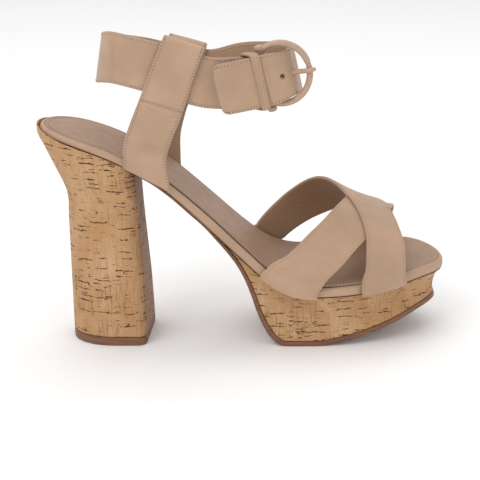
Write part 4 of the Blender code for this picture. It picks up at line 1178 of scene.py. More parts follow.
@dataclass
class Sole:
    """The outsole with its shank, and the cork platform over it."""

    heel: Heel
    thickness: float = 2.9 * MM
    shank_thickness: float = 1.6 * MM
    tuck: float = 9.0 * MM
    rounding: float = 0.5 * MM
    platform_back: float = 63.0 * MM
    waist: float = 3.0 * MM
    step: float = 0.6 * MM
    shank_tuck: float = 0.33
    shank_rows: int = 5
    shank_end: float = 0.425
    stations: int = 150
    platform_stations: int = 130
    platform_levels: int = 18
    edge_rows: tuple[tuple[float, float], ...] = (
        (0.7, 0.0), (0.25, 0.05), (0.0, 0.2), (0.0, 0.5), (0.0, 0.8), (0.15, 0.94), (0.45, 1.0))
    rows: Track = Track(
        ("reach", "height", "thick", "tuck"),
        ((0.4612, 1.400, 0.25, 0.40), (0.4905, 1.107, 0.40, 0.50), (0.5100, 0.813, 0.60, 0.62),
         (0.5235, 0.560, 0.75, 0.78), (0.5397, 0.320, 0.90, 0.95), (0.5580, 0.139, 1.00, 1.00),
         (0.5785, 0.032, 1.00, 1.00), (0.6010, 0.000, 1.00, 1.00), (0.6820, 0.000, 1.00, 0.98),
         (0.7137, 0.032, 1.00, 0.95), (0.7858, 0.133, 1.00, 0.82), (0.8828, 0.320, 1.00, 0.58),
         (0.9378, 0.429, 1.00, 0.45), (0.9874, 0.528, 1.00, 0.39)))
    curve: list[tuple[float, float]] = field(init=False)

    def __post_init__(self) -> None:
        """Lay out the outsole's outer curve, from the heel's breast to the toe."""
        points = []
        below = self.shank_thickness + CLEARANCE
        breast = self.heel.breast_x(1.0) + 2 * CLEARANCE
        start = LAST.share_at(breast + LAST.normal(breast).x * (LAST.edge_at(breast) + below))
        for i in range(self.shank_rows):
            x = LAST.x_at(start + (self.shank_end - start) * i / (self.shank_rows - 1))
            point = LAST.lift(x, 0.0, -LAST.edge_at(x) - below)
            points.append(Vector((point.x, point.z)))
        points += [Vector((LAST.x_at(row[0]), row[1] * LAST.ball_height)) for row in self.rows.rows]
        self.curve = [(point.x, max(point.y, 0.0)) for point in smooth_path(points, 16)]

    def height(self, x: float) -> float:
        """Height of the outer curve at a reach, straight on beyond its ends."""
        low, high = 0, len(self.curve) - 1
        while high - low > 1:
            middle = (low + high) // 2
            if self.curve[middle][0] <= x:
                low = middle
            else:
                high = middle
        (x0, z0), (x1, z1) = self.curve[low], self.curve[high]
        return z0 + (z1 - z0) * (x - x0) / (x1 - x0)

    def lift(self, x: float, y: float, above: float) -> Vector:
        """Point moved off the outer curve along its upward normal."""
        run = 0.8 * MM
        rise = self.height(x + run) - self.height(x - run)
        return Vector((x, y, self.height(x))) + Vector((-rise, 0.0, 2 * run)).normalized() * above

    def share(self, column: str, x: float, at_shank: float) -> float:
        """Share read from the sole's rows, or the shank's own behind them."""
        first = self.rows.rows[0]
        place = LAST.share_at(x)
        if place >= first[0]:
            return self.rows.at(column, min(place, self.rows.rows[-1][0]))
        blend = min(max((place - self.shank_end) / (first[0] - self.shank_end), 0.0), 1.0)
        return at_shank + (first[self.rows.columns.index(column)] - at_shank) * blend

    def thickness_at(self, x: float) -> float:
        """Thickness of the outsole."""
        return self.shank_thickness + (self.thickness - self.shank_thickness) * self.share("thick", x, 0.0)

    def places(self, start: float, count: int) -> list[float]:
        """Places along the outsole, closer where its curve or outline turns quickly.

        Args:
            start: Where to start.
            count: Number of steps.

        Returns:
            The places.
        """
        fine = 900
        span = self.curve[-1][0] - start
        lengths = [0.0]
        for i in range(fine):
            x0, x1 = start + span * i / fine, start + span * (i + 1) / fine
            rise = self.height(x1) - self.height(x0)
            turn = (LAST.turn_at(x1) - LAST.turn_at(x0)) * LAST.reach
            lengths.append(lengths[-1] + math.sqrt((x1 - x0) ** 2 + rise ** 2 + turn ** 2))
        found = []
        k = 0
        for i in range(count + 1):
            goal = lengths[-1] * i / count
            while k < fine - 1 and lengths[k + 1] < goal:
                k += 1
            part = (goal - lengths[k]) / (lengths[k + 1] - lengths[k])
            found.append(start + span * (k + part) / fine)
        return found

    def pair(self, x: float, extra: float, above: float) -> Pair:
        """A (lateral, medial) pair on the outer curve, moved inwards and up."""
        tip = self.curve[-1][0]
        inset = self.share("tuck", x, self.shank_tuck) * self.tuck + extra
        end_inset = self.share("tuck", tip, self.shank_tuck) * self.tuck
        turn = LAST.turn_at(LAST.back + (x - LAST.back) * LAST.reach / (tip - LAST.back))
        near_toe = max(0.0, (turn - 0.8) / 0.2)
        found = []
        for side in Side:
            plan = LAST.inset(turn, side, end_inset + (inset - end_inset) * (1 - near_toe ** 2))
            along = x + (min(plan.x, tip - extra) - x) * near_toe
            found.append(self.lift(along, plan.y, above))
        return found[0], found[1]

    def build_outsole(self, palette: Palette) -> None:
        """The outsole: forepart, platform back and shank in one piece."""
        places = self.places(self.curve[0][0], self.stations)
        levels = [[self.pair(x, extra * MM, share * self.thickness_at(x)) for x in places]
                  for extra, share in self.edge_rows]
        maker = MeshMaker("outsole_rubber")
        maker.pairs(levels, [0.0] * len(levels))
        made = maker.finish([palette.rubber], "sole_edge", 50.0)
        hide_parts("outsole")

    def build_platform(self, palette: Palette) -> None:
        """The cork platform, waisted between footbed and outsole."""
        count = self.platform_stations
        start = LAST.turn_at(self.platform_back)
        turns = [start + (1 - start) * i / count for i in range(count + 1)]
        lows, highs = [], []
        for x, turn in zip(self.places(self.platform_back, count), turns):
            lows.append(self.pair(x, self.step, self.thickness_at(x) + CLEARANCE))
            found = []
            for side in Side:
                place, y = LAST.inset(turn, side, self.step)
                found.append(LAST.lift(place, y, -LAST.edge_at(place) - CLEARANCE))
            highs.append((found[0], found[1]))
        levels = []
        for k in range(self.platform_levels + 1):
            share = k / self.platform_levels
            level = []
            for low, high, turn in zip(lows, highs, turns):
                found = []
                for bottom, top, side in zip(low, high, Side):
                    draw = min(self.waist, 0.12 * (top - bottom).length) * 4 * share * (1 - share)
                    shift = LAST.inset(turn, side, draw) - LAST.inset(turn, side, 0.0)
                    found.append(bottom.lerp(top, share) + Vector((shift.x, shift.y, 0.0)))
                level.append((found[0], found[1]))
            levels.append(level)
        maker = MeshMaker("platform_cork")
        maker.pairs(levels, [0.0] * len(levels))
        made = maker.finish([palette.cork], "cork", 50.0)
        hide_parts("platform")

    def build(self, palette: Palette) -> None:
        """Build the outsole and the platform."""
        self.build_outsole(palette)
        self.build_platform(palette)


# Straps


@dataclass
class StrapPath:
    """A strap's middle line with its crosswise directions and half-widths."""

    centres: list[Vector]
    acrosses: list[Vector]
    halves: list[float]
    squared: bool = True

    @classmethod
    def through(cls, knots: Sequence[tuple[Vector, Vector, float]], detail: int,
                squared: bool = True) -> "StrapPath":
        """Lay a smooth path through knots.

        Args:
            knots: Middle, crosswise direction and half-width of each.
            detail: Steps between two knots.
            squared: True if the sections stand square to the line.

        Returns:
            The path.
        """
        middles, acrosses, halves = zip(*knots)
        return cls(smooth_path(middles, detail), smooth_path(acrosses, detail),
                   smooth_values(halves, detail), squared)

    def frames(self) -> list[Pair]:
        """Directions (across, out) at every point."""
        found = []
        last = len(self.centres) - 1
        for i, direction in enumerate(self.acrosses):
            run = (self.centres[min(i + 1, last)] - self.centres[max(i - 1, 0)]).normalized()
            across = direction.normalized()
            if self.squared:
                across = (across - run * across.dot(run)).normalized()
            found.append((across, across.cross(run).normalized()))
        return found

@dataclass
class StrapSkin:
    """A strap's section: rounded or turned edges, sewing lines and creases."""

    thickness: float
    seam: Seam = Seam.STITCHED
    line_inset: float = 1.25 * MM
    line_depth: float = 0.10 * MM
    crown: float = 0.12 * MM
    creases: tuple[Crease, ...] = ()
    ripple: float = 0.06 * MM
    shade_width: float = 0.21 * MM
    thread_bed: float = 0.05 * MM

    def columns(self, half: float) -> list[tuple[float, float, float]]:
        """Section of the strap.

        Args:
            half: Half of its width.

        Returns:
            Closed loop of (across, out, shade), the outer side first.
        """
        deep = self.thickness / 2
        rim = 0.7 * deep
        line = self.line_inset
        offs = [0.0, 0.40, 0.75, 0.88, 1.0, 1.12, 1.25, 1.6, 2.3]
        shares = [rim + (line - rim) * off if off < 1.0 else line * off for off in offs]
        inner = [shares[-1] + (half - shares[-1]) * k / 6 for k in range(1, 7)]
        outs = sorted({round(half - s, 7) for s in shares + inner} | {round(s - half, 7)
                                                                     for s in shares + inner})
        section = []
        for across in outs:
            edge = half - abs(across)
            section.append((across, deep + self.surface(edge, half), self.pressed(edge)))
        for degrees in (60, 30, 0, -30, -60):
            angle = math.radians(degrees)
            section.append((half - rim + rim * math.cos(angle), deep * math.sin(angle), 0.12))
        count = 8
        for k in range(count + 1):
            section.append(((half - rim) * (1 - 2 * k / count), -deep, 0.0))
        for degrees in (-60, -30, 0, 30, 60):
            angle = math.radians(degrees)
            section.append((-half + rim - rim * math.cos(angle), deep * math.sin(angle), 0.12))
        return section

    def surface(self, edge: float, half: float) -> float:
        """Height of the outer side over a flat strap, at a distance from the edge."""
        inside = max(edge - self.line_inset, 0.0) / max(half - self.line_inset, MM)
        crown = self.crown * (1 - (1 - min(inside, 1.0)) ** 2)
        width = (0.32 if self.seam is Seam.STITCHED else 0.35) * MM
        return crown - self.line_depth * bump(edge - self.line_inset, width)

    def pressed(self, edge: float) -> float:
        """Painted shade in the sewing line's groove at a distance from the edge, seen between the stitches.
        """
        strength = 0.95 if self.seam is Seam.STITCHED else 0.22
        return strength * bump(edge - self.line_inset, self.shade_width)

    def wave(self, along: float, across: float) -> tuple[float, float]:
        """Sink of the creases and of the leather's soft waves at a place, and the painted shade in the
        creases.
        """
        sink = sum(crease.sink(along, across) for crease in self.creases)
        soft = noise.noise(Vector((along * 90.0, across * 70.0, self.thickness * 9000.0)))
        return sink + self.ripple * soft, max(sink, 0.0) / MM * 0.9

    def faces(self, half: float) -> list[int]:
        """Material index of each strip round a section."""
        outs = [out for _, out, _ in self.columns(half)]
        return [(Face.INNER if one + two < -0.6 * self.thickness else Face.OUTER).value
                for one, two in zip(outs, outs[1:] + outs[:1])]

    def rings(self, path: StrapPath) -> tuple[list[list[Vector]], list[list[float]]]:
        """Sections along a strap, and the shade of each of their points."""
        rings, shades = [], []
        lengths = run_lengths(path.centres)
        for centre, (across, out), half, length in zip(path.centres, path.frames(), path.halves, lengths):
            ring, shade = [], []
            for a, o, dark in self.columns(half):
                sink, fold = self.wave(length, a)
                ring.append(centre + across * a + out * (o - sink))
                # Painted shade of the sewing line and the creases, the creases half as strong on the inner
                # side.
                shade.append(dark + (fold if o > 0 else 0.5 * fold))
            rings.append(ring)
            shades.append(shade)
        return rings, shades

    def line(self, path: StrapPath, edge: int, outer: bool = True) -> tuple[list[Vector], list[Vector]]:
        """The sewing line along one edge.

        Args:
            path: The strap's path.
            edge: -1 or 1 for the edge.
            outer: True for the outer side.

        Returns:
            Points and outward normals.
        """
        facing = 1.0 if outer else -1.0
        depth = self.thickness / 2 - (self.line_depth if outer else self.thread_bed)
        points, normals = [], []
        for centre, (across, out), half in zip(path.centres, path.frames(), path.halves):
            points.append(centre + across * edge * (half - self.line_inset) + out * facing * depth)
            normals.append(out * facing)
        return points, normals

    def crossing(self, path: StrapPath, index: int, margin: float,
                 sunk: float = 0.0) -> tuple[list[Vector], list[Vector]]:
        """A sewing line across the strap.

        Args:
            path: The strap's path.
            index: Which point of the path it crosses.
            margin: How far from the edges it ends.
            sunk: How far it lies under the outer side.

        Returns:
            Points and outward normals.
        """
        steps = 40
        across, out = path.frames()[index]
        reach = path.halves[index] - margin
        middle = path.centres[index] + out * (self.thickness / 2 - sunk)
        points = [middle + across * reach * (2 * k / steps - 1) for k in range(steps + 1)]
        return points, [out] * len(points)


@dataclass
class FrontStraps:
    """The two crossed front straps, cut with turned edges."""

    thickness: float = 2.0 * MM
    vamp_height: float = 46.5 * MM
    squareness: float = 2.15
    room: float = 0.6 * MM
    wrap: float = 12.0
    stations: int = 150
    vamp: Track = Track(("reach", "height"), ((0.50, 1.32), (0.62, 1.14), (0.70, 0.96), (0.77, 0.76),
                                              (0.86, 0.58), (0.93, 0.49)))
    under: Track = Track(
        ("over", "rear", "front", "lift"),
        ((-12.0, 0.546, 0.668, 0.0), (0.0, 0.547, 0.679, 0.0), (15.0, 0.597, 0.727, 0.0),
         (30.0, 0.639, 0.764, 0.0), (45.0, 0.680, 0.800, 0.0), (60.0, 0.710, 0.828, 0.0),
         (75.0, 0.733, 0.850, 0.0), (90.0, 0.750, 0.865, 0.0), (110.0, 0.770, 0.880, 0.0),
         (135.0, 0.780, 0.888, 0.0), (180.0, 0.780, 0.888, 0.0), (192.0, 0.780, 0.888, 0.0)))
    upper: Track = Track(
        ("over", "rear", "front", "lift"),
        ((-12.0, 0.776, 0.888, 0.0), (0.0, 0.776, 0.886, 0.0), (15.0, 0.785, 0.883, 0.3),
         (35.0, 0.785, 0.879, 0.9), (60.0, 0.773, 0.868, 0.9), (75.0, 0.757, 0.861, 0.9),
         (90.0, 0.733, 0.855, 0.9), (110.0, 0.695, 0.830, 0.9), (130.0, 0.657, 0.790, 0.9),
         (155.0, 0.595, 0.730, 0.4), (175.0, 0.540, 0.625, 0.0), (180.0, 0.528, 0.604, 0.0),
         (192.0, 0.526, 0.598, 0.0)))

    def form_point(self, share: float, over: float) -> Vector:
        """Point of the foot's form under the straps.

        Args:
            share: Share of the last's reach.
            over: Degrees over the foot, 0 at the lateral edge.

        Returns:
            The point.
        """
        x = LAST.x_at(share)
        lateral = LAST.half_width(x, Side.LATERAL) + self.room
        medial = LAST.half_width(x, Side.MEDIAL) + self.room
        if over < 0.0 or over > 180.0:
            beyond = -over if over < 0.0 else over - 180.0
            y = -lateral if over < 0.0 else medial
            return LAST.lift(x, y, -LAST.edge_at(x) * beyond / self.wrap)
        angle = math.radians(over)
        cosine, sine = math.cos(angle), max(math.sin(angle), 0.0)
        power = 2 / self.squareness
        y = (medial - lateral) / 2 - (medial + lateral) / 2 * math.copysign(abs(cosine) ** power, cosine)
        rise = self.vamp.at("height", share) * self.vamp_height * sine ** power
        return Vector((x, y, LAST.height(x) + rise))

    def form_normal(self, share: float, over: float) -> Vector:
        """Outward normal of the foot's form."""
        step, turn = 0.004, 2.0
        along = self.form_point(share + step, over) - self.form_point(share - step, over)
        round_ = self.form_point(share, over + turn) - self.form_point(share, over - turn)
        return along.cross(round_).normalized()

    def build_band(self, maker: MeshMaker, rows: Track, skin: StrapSkin) -> None:
        """Lay one strap over the form.

        Args:
            maker: Mesh to add to.
            rows: The strap's edges and lift.
            skin: Its section.
        """
        rings, shades = [], []
        start, end = rows.rows[0][0], rows.rows[-1][0]
        length = 0.0
        before = None
        for i in range(self.stations + 1):
            over = start + (end - start) * i / self.stations
            rear, front = rows.at("rear", over), rows.at("front", over)
            lift = rows.at("lift", over) * self.thickness
            half = (front - rear) * LAST.reach / 2
            middle = self.form_point((rear + front) / 2, over)
            length += (middle - before).length if before else 0.0
            before = middle
            ring, shade = [], []
            stretch = [self.form_point(rear + (front - rear) * k / 8, over) for k in range(9)]
            true_half = run_lengths(stretch)[-1] / 2
            for a, o, dark in skin.columns(true_half):
                share = (rear + front) / 2 + a / true_half * half / LAST.reach
                sink, fold = skin.wave(length, a)
                out = lift + self.thickness / 2 + o - sink
                ring.append(self.form_point(share, over) + self.form_normal(share, over) * out)
                # Painted shade of the sewing line and the creases.
                shade.append(dark + fold)
            rings.append(ring)
            shades.append(shade)
        maker.sweep(rings, shades, skin.faces(half))

    def build(self, palette: Palette) -> None:
        """Build both straps as one piece."""
        maker = MeshMaker("front_straps_leather")
        turned = dict(thickness=self.thickness, seam=Seam.TURNED, line_inset=1.5 * MM,
                      line_depth=0.10 * MM, crown=0.12 * MM)
        self.build_band(maker, self.under, StrapSkin(**turned, creases=creases(
            0.0, (12.0, -11.0, 9.0, 62.0, 0.22, 0.8), (15.0, -9.0, 8.0, 50.0, 0.16, 0.7),
            (9.0, -12.5, 6.0, 80.0, 0.18, 0.6), (11.0, 6.0, 18.0, 85.0, 0.10, 2.0))))
        self.build_band(maker, self.upper, StrapSkin(**turned, creases=creases(
            0.0, (104.0, -6.0, 12.0, 78.0, 0.16, 0.7), (109.0, -3.0, 14.0, 84.0, 0.18, 0.6),
            (113.0, -5.0, 12.0, 92.0, 0.16, 0.6), (117.0, -2.0, 13.0, 86.0, 0.18, 0.6),
            (121.0, -4.0, 11.0, 95.0, 0.15, 0.6), (60.0, 0.0, 16.0, 85.0, 0.08, 2.5))))
        made = maker.finish([palette.leather, palette.lining], "leather", 60.0)
        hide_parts("front_straps")


@dataclass
class AnkleStrap:
    """The ankle strap with the buckle and the keeper on it."""

    back: float = -1.4 * MM
    reach: float = 102.0 * MM
    half_width: float = 31.0 * MM
    height: float = 151.5 * MM
    dip: float = 9.0 * MM
    width: float = 26.3 * MM
    thickness: float = 2.2 * MM
    tip_rounding: float = 4.0 * MM
    hole: float = 2.8 * MM
    bar: float = 3.2 * MM
    bar_reach: float = 0.845
    bar_height: float = 0.08
    buckle_radius: float = 15.4 * MM
    tilt: float = math.radians(13.0)
    fold_narrowing: float = 0.86
    fold_length: float = 11.0 * MM
    detail: int = 14
    ring: Track = Track(
        ("row", "reach", "side", "dip", "lean"),
        ((0, 0.726, -1.070, -0.33, -10.0), (1, 0.564, -1.015, -0.27, 0.0), (2, 0.392, -1.000, 0.26, 0.0),
         (3, 0.211, -0.960, 0.78, 5.0), (4, 0.078, -0.740, 1.00, 8.0), (5, 0.012, -0.390, 0.83, 9.0),
         (6, 0.000, 0.000, 0.55, 9.0), (7, 0.012, 0.390, 0.44, 9.0), (8, 0.078, 0.710, 0.12, 8.0),
         (9, 0.211, 0.900, -0.22, 5.0), (10, 0.392, 0.935, -0.72, 0.0), (11, 0.573, 0.925, -0.92, 0.0),
         (12, 0.745, 0.855, -0.45, -6.0), (13, 0.878, 0.680, -0.28, -10.0),
         (14, 0.964, 0.320, -0.06, -13.0), (15, 0.997, -0.190, 0.17, -13.0),
         (16, 1.000, -0.710, 0.36, -13.0)))
    free: Track = Track(
        ("along", "out", "wide"),
        ((0.915, -2.20, 0.90), (0.885, -0.80, 0.88), (0.795, 0.35, 0.88), (0.620, 1.35, 0.91),
         (0.390, 2.10, 0.97), (0.170, 2.50, 1.00), (0.000, 2.62, 1.00), (-0.500, 2.50, 1.00),
         (-1.000, 2.15, 1.00), (-1.630, 1.60, 1.00)))

    @property
    def fold_radius(self) -> float:
        """Radius of the strap's middle line round the bar."""
        return self.bar / 2 + CLEARANCE + self.thickness / 2

    @property
    def centre(self) -> Vector:
        """Middle of the buckle's bar."""
        outward = self.thickness / 2 + CLEARANCE + self.bar / 2
        return Vector((self.back + self.bar_reach * self.reach,
                       self.ring.rows[0][2] * self.half_width - outward,
                       self.height + self.bar_height * self.dip))

    @property
    def along(self) -> Vector:
        """Direction of the strap through the buckle."""
        return Vector((math.cos(self.tilt), 0.0, math.sin(self.tilt)))

    @property
    def up(self) -> Vector:
        """Direction of the buckle's bar."""
        return Vector((-math.sin(self.tilt), 0.0, math.cos(self.tilt)))

    def at_buckle(self, along: float, up: float, out: float) -> Vector:
        """Point in the buckle's own axes, in metres from the middle of its bar."""
        return self.centre + self.along * along + self.up * up + Vector((0.0, -out, 0.0))

    def ring_point(self, row: int) -> Vector:
        """Middle of the strap at a row of its ring."""
        _, reach, side, dip, _ = self.ring.rows[row]
        return Vector((self.back + reach * self.reach, side * self.half_width, self.height + dip * self.dip))

    def knots(self) -> list[tuple[Vector, Vector, float]]:
        """Middle line of the whole strap, with its crosswise direction and half-width."""
        up = self.up
        full = self.width / 2
        narrow = full * self.fold_narrowing
        radius = self.fold_radius
        found = [(self.at_buckle(-self.fold_length, 0.0, self.thickness + CLEARANCE - radius), up, narrow),
                 (self.at_buckle(-self.fold_length / 2, 0.0, 0.55 * radius), up, narrow)]
        for degrees in (90, 45, 0, -45, -90):
            angle = math.radians(degrees)
            found.append((self.at_buckle(radius * math.cos(angle), 0.0, radius * math.sin(angle)),
                          up, narrow))
        found.append((self.at_buckle(-self.fold_length / 2, 0.0, -radius), up, (narrow + full) / 2))
        found.append((self.at_buckle(-self.fold_length, 0.0, -radius), up, full))
        for row in range(1, len(self.ring.rows)):
            lean = math.radians(self.ring.rows[row][4])
            found.append((self.ring_point(row), Vector((math.sin(lean), 0.0, math.cos(lean))), full))
        for along, out, wide in self.free.rows:
            found.append((self.at_buckle(along * self.buckle_radius, 0.0, out * self.thickness),
                          up, full * wide))
        return found

    def cut(self, name: str, centre_line: Sequence[Vector], radius: float) -> bpy.types.Object:
        """A hidden cutter along a line."""
        maker = MeshMaker(name)
        add_rod(maker, centre_line, [radius] * len(centre_line), 28)
        data = bpy.data.meshes.new(name)
        bmesh.ops.recalc_face_normals(maker.mesh, faces=maker.mesh.faces[:])
        maker.mesh.to_mesh(data)
        maker.mesh.free()
        return add_object(name, data)

    def build(self, palette: Palette) -> None:
        """Build the strap, its hole and its stitches."""
        path = StrapPath.through(self.knots(), self.detail)
        lengths = run_lengths(path.centres)
        total = lengths[-1]
        for i, length in enumerate(lengths):
            rest = self.tip_rounding - (total - length)
            if rest > 0:
                path.halves[i] -= self.tip_rounding - math.sqrt(max(self.tip_rounding ** 2 - rest ** 2, 0.0))
        skin = StrapSkin(self.thickness, creases=(
            *creases(total, (-22.0, 5.0, 14.0, 80.0, 0.16, 0.8), (-24.5, -3.0, 16.0, 84.0, 0.14, 0.8),
                     (-27.0, 2.0, 18.0, 88.0, 0.12, 0.8)),
            *creases(0.30 * total, (0.0, 0.0, 20.0, 86.0, 0.12, 2.5)),
            *creases(0.37 * total, (0.0, 3.0, 18.0, 95.0, 0.12, 2.0)),
            *creases(0.45 * total, (0.0, -4.0, 14.0, 88.0, 0.10, 1.6))))
        rings, shades = skin.rings(path)
        maker = MeshMaker("ankle_strap_leather")
        maker.sweep(rings, shades, skin.faces(path.halves[0]))
        made = maker.finish([palette.leather, palette.lining], "leather", 60.0)
        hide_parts("ankle_strap")
        self.pierce(made)
        run = StitchRun("ankle_strap_stitches")
        first, last = 5 * self.detail, -int(0.35 * self.detail)
        for edge in (-1, 1):
            for outer in (True, False):
                points, normals = skin.line(path, edge, outer)
                run.sew(points[first:last], normals[first:last])
        tip = max(i for i, length in enumerate(lengths) if total - length >= skin.line_inset)
        run.sew(*skin.crossing(path, tip, 0.8 * skin.line_inset))
        run.finish(palette.thread)

    def pierce(self, strap: bpy.types.Object) -> None:
        """Cut the spare hole, so that light falls through it."""
        place = 0.52
        rows = Track(self.free.columns, tuple(reversed(self.free.rows)))
        layer = rows.at("out", place) * self.thickness
        ahead = rows.at("out", place + 0.05) * self.thickness
        slope = Vector((0.05 * self.buckle_radius, ahead - layer)).normalized()
        line = [self.at_buckle(place * self.buckle_radius - slope.y * k * self.thickness, 0.0,
                               layer + slope.x * k * self.thickness) for k in (-0.95, 0.0, 0.95)]
        cutter = self.cut("spare_hole_cutter", line, self.hole / 2)
        modifier = strap.modifiers.new("spare_hole", "BOOLEAN")
        modifier.operation = "DIFFERENCE"
        modifier.solver = "EXACT"
        modifier.object = cutter
        bpy.context.view_layer.update()
        graph = bpy.context.evaluated_depsgraph_get()
        cut_mesh = bpy.data.meshes.new_from_object(strap.evaluated_get(graph))
        strap.modifiers.clear()
        strap.data = cut_mesh
        bpy.data.objects.remove(cutter)


@dataclass
class Buckle:
    """The D-shaped frame, its prong and the leather keeper."""

    strap: AnkleStrap
    wire: float = 3.3 * MM
    knob: float = 4.8 * MM
    knob_reach: float = 17.3 * MM
    flatness: float = 0.95
    bar_offset: float = 0.515
    rise: float = 1.0 * MM
    lift: float = math.radians(4.0)
    prong_wire: float = 2.6 * MM
    prong_ring: float = 3.2 * MM
    keeper_width: float = 4.4 * MM
    keeper_thickness: float = 1.2 * MM
    keeper_back: float = 5.5 * MM
    keeper_lean: float = 0.45
    prong: Track = Track(("along", "out", "wide"),
                         ((0.16, 0.00, 1.00), (0.50, -0.25, 1.00), (0.88, -0.15, 1.00),
                          (1.14, 0.75, 0.98), (1.38, 1.88, 0.95), (1.53, 2.12, 0.90),
                          (1.62, 2.16, 0.75)))
    bar_rows: tuple[tuple[float, float], ...] = (
        (-1.0, 0.35), (-0.995, 0.62), (-0.98, 0.85), (-0.95, 0.98), (-0.90, 1.0), (-0.86, 0.95),
        (-0.83, 0.75), (-0.80, 0.66), (0.80, 0.66), (0.83, 0.75), (0.86, 0.95), (0.90, 1.0),
        (0.95, 0.98), (0.98, 0.85), (0.995, 0.62), (1.0, 0.35))

    def build_frame(self, palette: Palette) -> None:
        """The D and its bar with a knob at each end."""
        strap = self.strap
        offset = self.bar_offset * strap.buckle_radius
        length = self.flatness * strap.buckle_radius
        opening = math.acos(-offset / length)
        steps = 96
        centres, radii = [], []
        for i in range(steps + 1):
            angle = -opening + 2 * opening * i / steps
            along = offset + length * math.cos(angle)
            up = self.rise + strap.buckle_radius * math.sin(angle)
            centres.append(strap.at_buckle(along, up, along * math.tan(self.lift)))
            notch = 0.20 * bump(up - 2.6 * MM, 1.5 * MM) if along > offset else 0.0
            radii.append(self.wire / 2 * (1 - notch))
        maker = MeshMaker("buckle_frame_enamel")
        add_rod(maker, centres, radii, 24)
        add_rod(maker, [strap.at_buckle(0.0, share * self.knob_reach, 0.0) for share, _ in self.bar_rows],
                [size * self.knob / 2 for _, size in self.bar_rows], 24)
        made = maker.finish([palette.enamel], "enamel", 50.0)
        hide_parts("buckle_frame")

    def build_prong(self, palette: Palette) -> None:
        """The prong and its eye round the bar."""
        strap = self.strap
        points = [strap.at_buckle(along * strap.buckle_radius, 0.0, out * strap.thickness)
                  for along, out, _ in self.prong.rows]
        centres = smooth_path(points, 10)
        radii = smooth_values([wide * self.prong_wire / 2 for _, _, wide in self.prong.rows], 10)
        tip = (centres[-1] - centres[-2]).normalized()
        for back, size in ((0.35, 0.86), (0.6, 0.55), (0.68, 0.2)):
            centres.append(points[-1] + tip * back * MM)
            radii.append(radii[len(points) * 10 - 10] * size)
        maker = MeshMaker("buckle_prong_enamel")
        add_rod(maker, centres, radii, 18)
        wire = self.prong_ring - strap.bar / 2 - CLEARANCE
        middle = self.prong_ring - wire / 2
        eye = []
        for i in range(36):
            angle = 2 * math.pi * i / 36
            outward = strap.along * math.cos(angle) - Vector((0.0, math.sin(angle), 0.0))
            eye.append([strap.centre + outward * (middle + wire / 2 * math.cos(k))
                        + strap.up * (self.prong_wire / 2 * math.sin(k))
                        for k in (2 * math.pi * j / 12 for j in range(12))])
        maker.sweep(eye, [[0.0] * 12] * 36, [0] * 12, closed=True)
        made = maker.finish([palette.enamel], "enamel", 50.0)
        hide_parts("buckle_prong")

    def build_keeper(self, palette: Palette) -> None:
        """The keeper round all the layers, pushed up to the bar."""
        strap = self.strap
        wall = CLEARANCE + self.keeper_thickness / 2
        half_up = strap.width / 2 + wall
        outer = strap.free.rows[6][1] * strap.thickness + strap.thickness / 2 + wall
        inner = -strap.fold_radius - strap.thickness / 2 - wall
        corner = self.keeper_thickness * 1.5
        skin = StrapSkin(self.keeper_thickness, Seam.TURNED, line_inset=1.1 * MM, line_depth=0.1 * MM,
                         crown=0.15 * MM, ripple=0.04 * MM)
        section = skin.columns(self.keeper_width / 2)
        rings, shades = [], []
        for quarter, (up_end, out_end) in enumerate(((half_up, outer), (-half_up, outer),
                                                     (-half_up, inner), (half_up, inner))):
            for step in range(11):
                angle = math.pi / 2 * (quarter + step / 10)
                towards = Vector((math.cos(angle), math.sin(angle)))
                outward = strap.up * towards.x - Vector((0.0, towards.y, 0.0))
                up = up_end - math.copysign(corner, up_end) + corner * towards.x
                out = out_end - math.copysign(corner, out_end) + corner * towards.y
                along = self.keeper_lean * (out - (outer + inner) / 2) - self.keeper_back
                middle = strap.at_buckle(along, up, out)
                rings.append([middle + strap.along * a + outward * o for a, o, _ in section])
                shades.append([dark for _, _, dark in section])
        fine_rings, fine_shades = [], []
        for k, ring in enumerate(rings):
            following = rings[(k + 1) % len(rings)]
            far = (following[0] - ring[0]).length > 3 * MM
            for step in range(8 if far else 1):
                part = step / 8
                fine_rings.append([p.lerp(q, part) for p, q in zip(ring, following)])
                fine_shades.append(shades[k])
        maker = MeshMaker("strap_keeper_leather")
        maker.sweep(fine_rings, fine_shades, [0] * len(section), closed=True)
        made = maker.finish([palette.leather], "leather", 60.0)
        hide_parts("strap_keeper")
        run = StitchRun("strap_keeper_stitches", pitch=1.45 * MM, radius=0.22 * MM)
        out = outer + self.keeper_thickness / 2 + 0.12 * MM
        along = self.keeper_lean * (outer - inner) / 2 - self.keeper_back
        for edge in (-1, 1):
            across = edge * (self.keeper_width / 2 - skin.line_inset)
            ends = [strap.at_buckle(along + across, up, out) for up in (half_up - corner, corner - half_up)]
            points = [ends[0].lerp(ends[1], k / 60) for k in range(61)]
            run.sew(points, [Vector((0.0, -1.0, 0.0))] * len(points))
        run.finish(palette.thread)

    def build(self, palette: Palette) -> None:
        """Build the frame, the prong and the keeper."""
        self.build_frame(palette)
        self.build_prong(palette)
        self.build_keeper(palette)


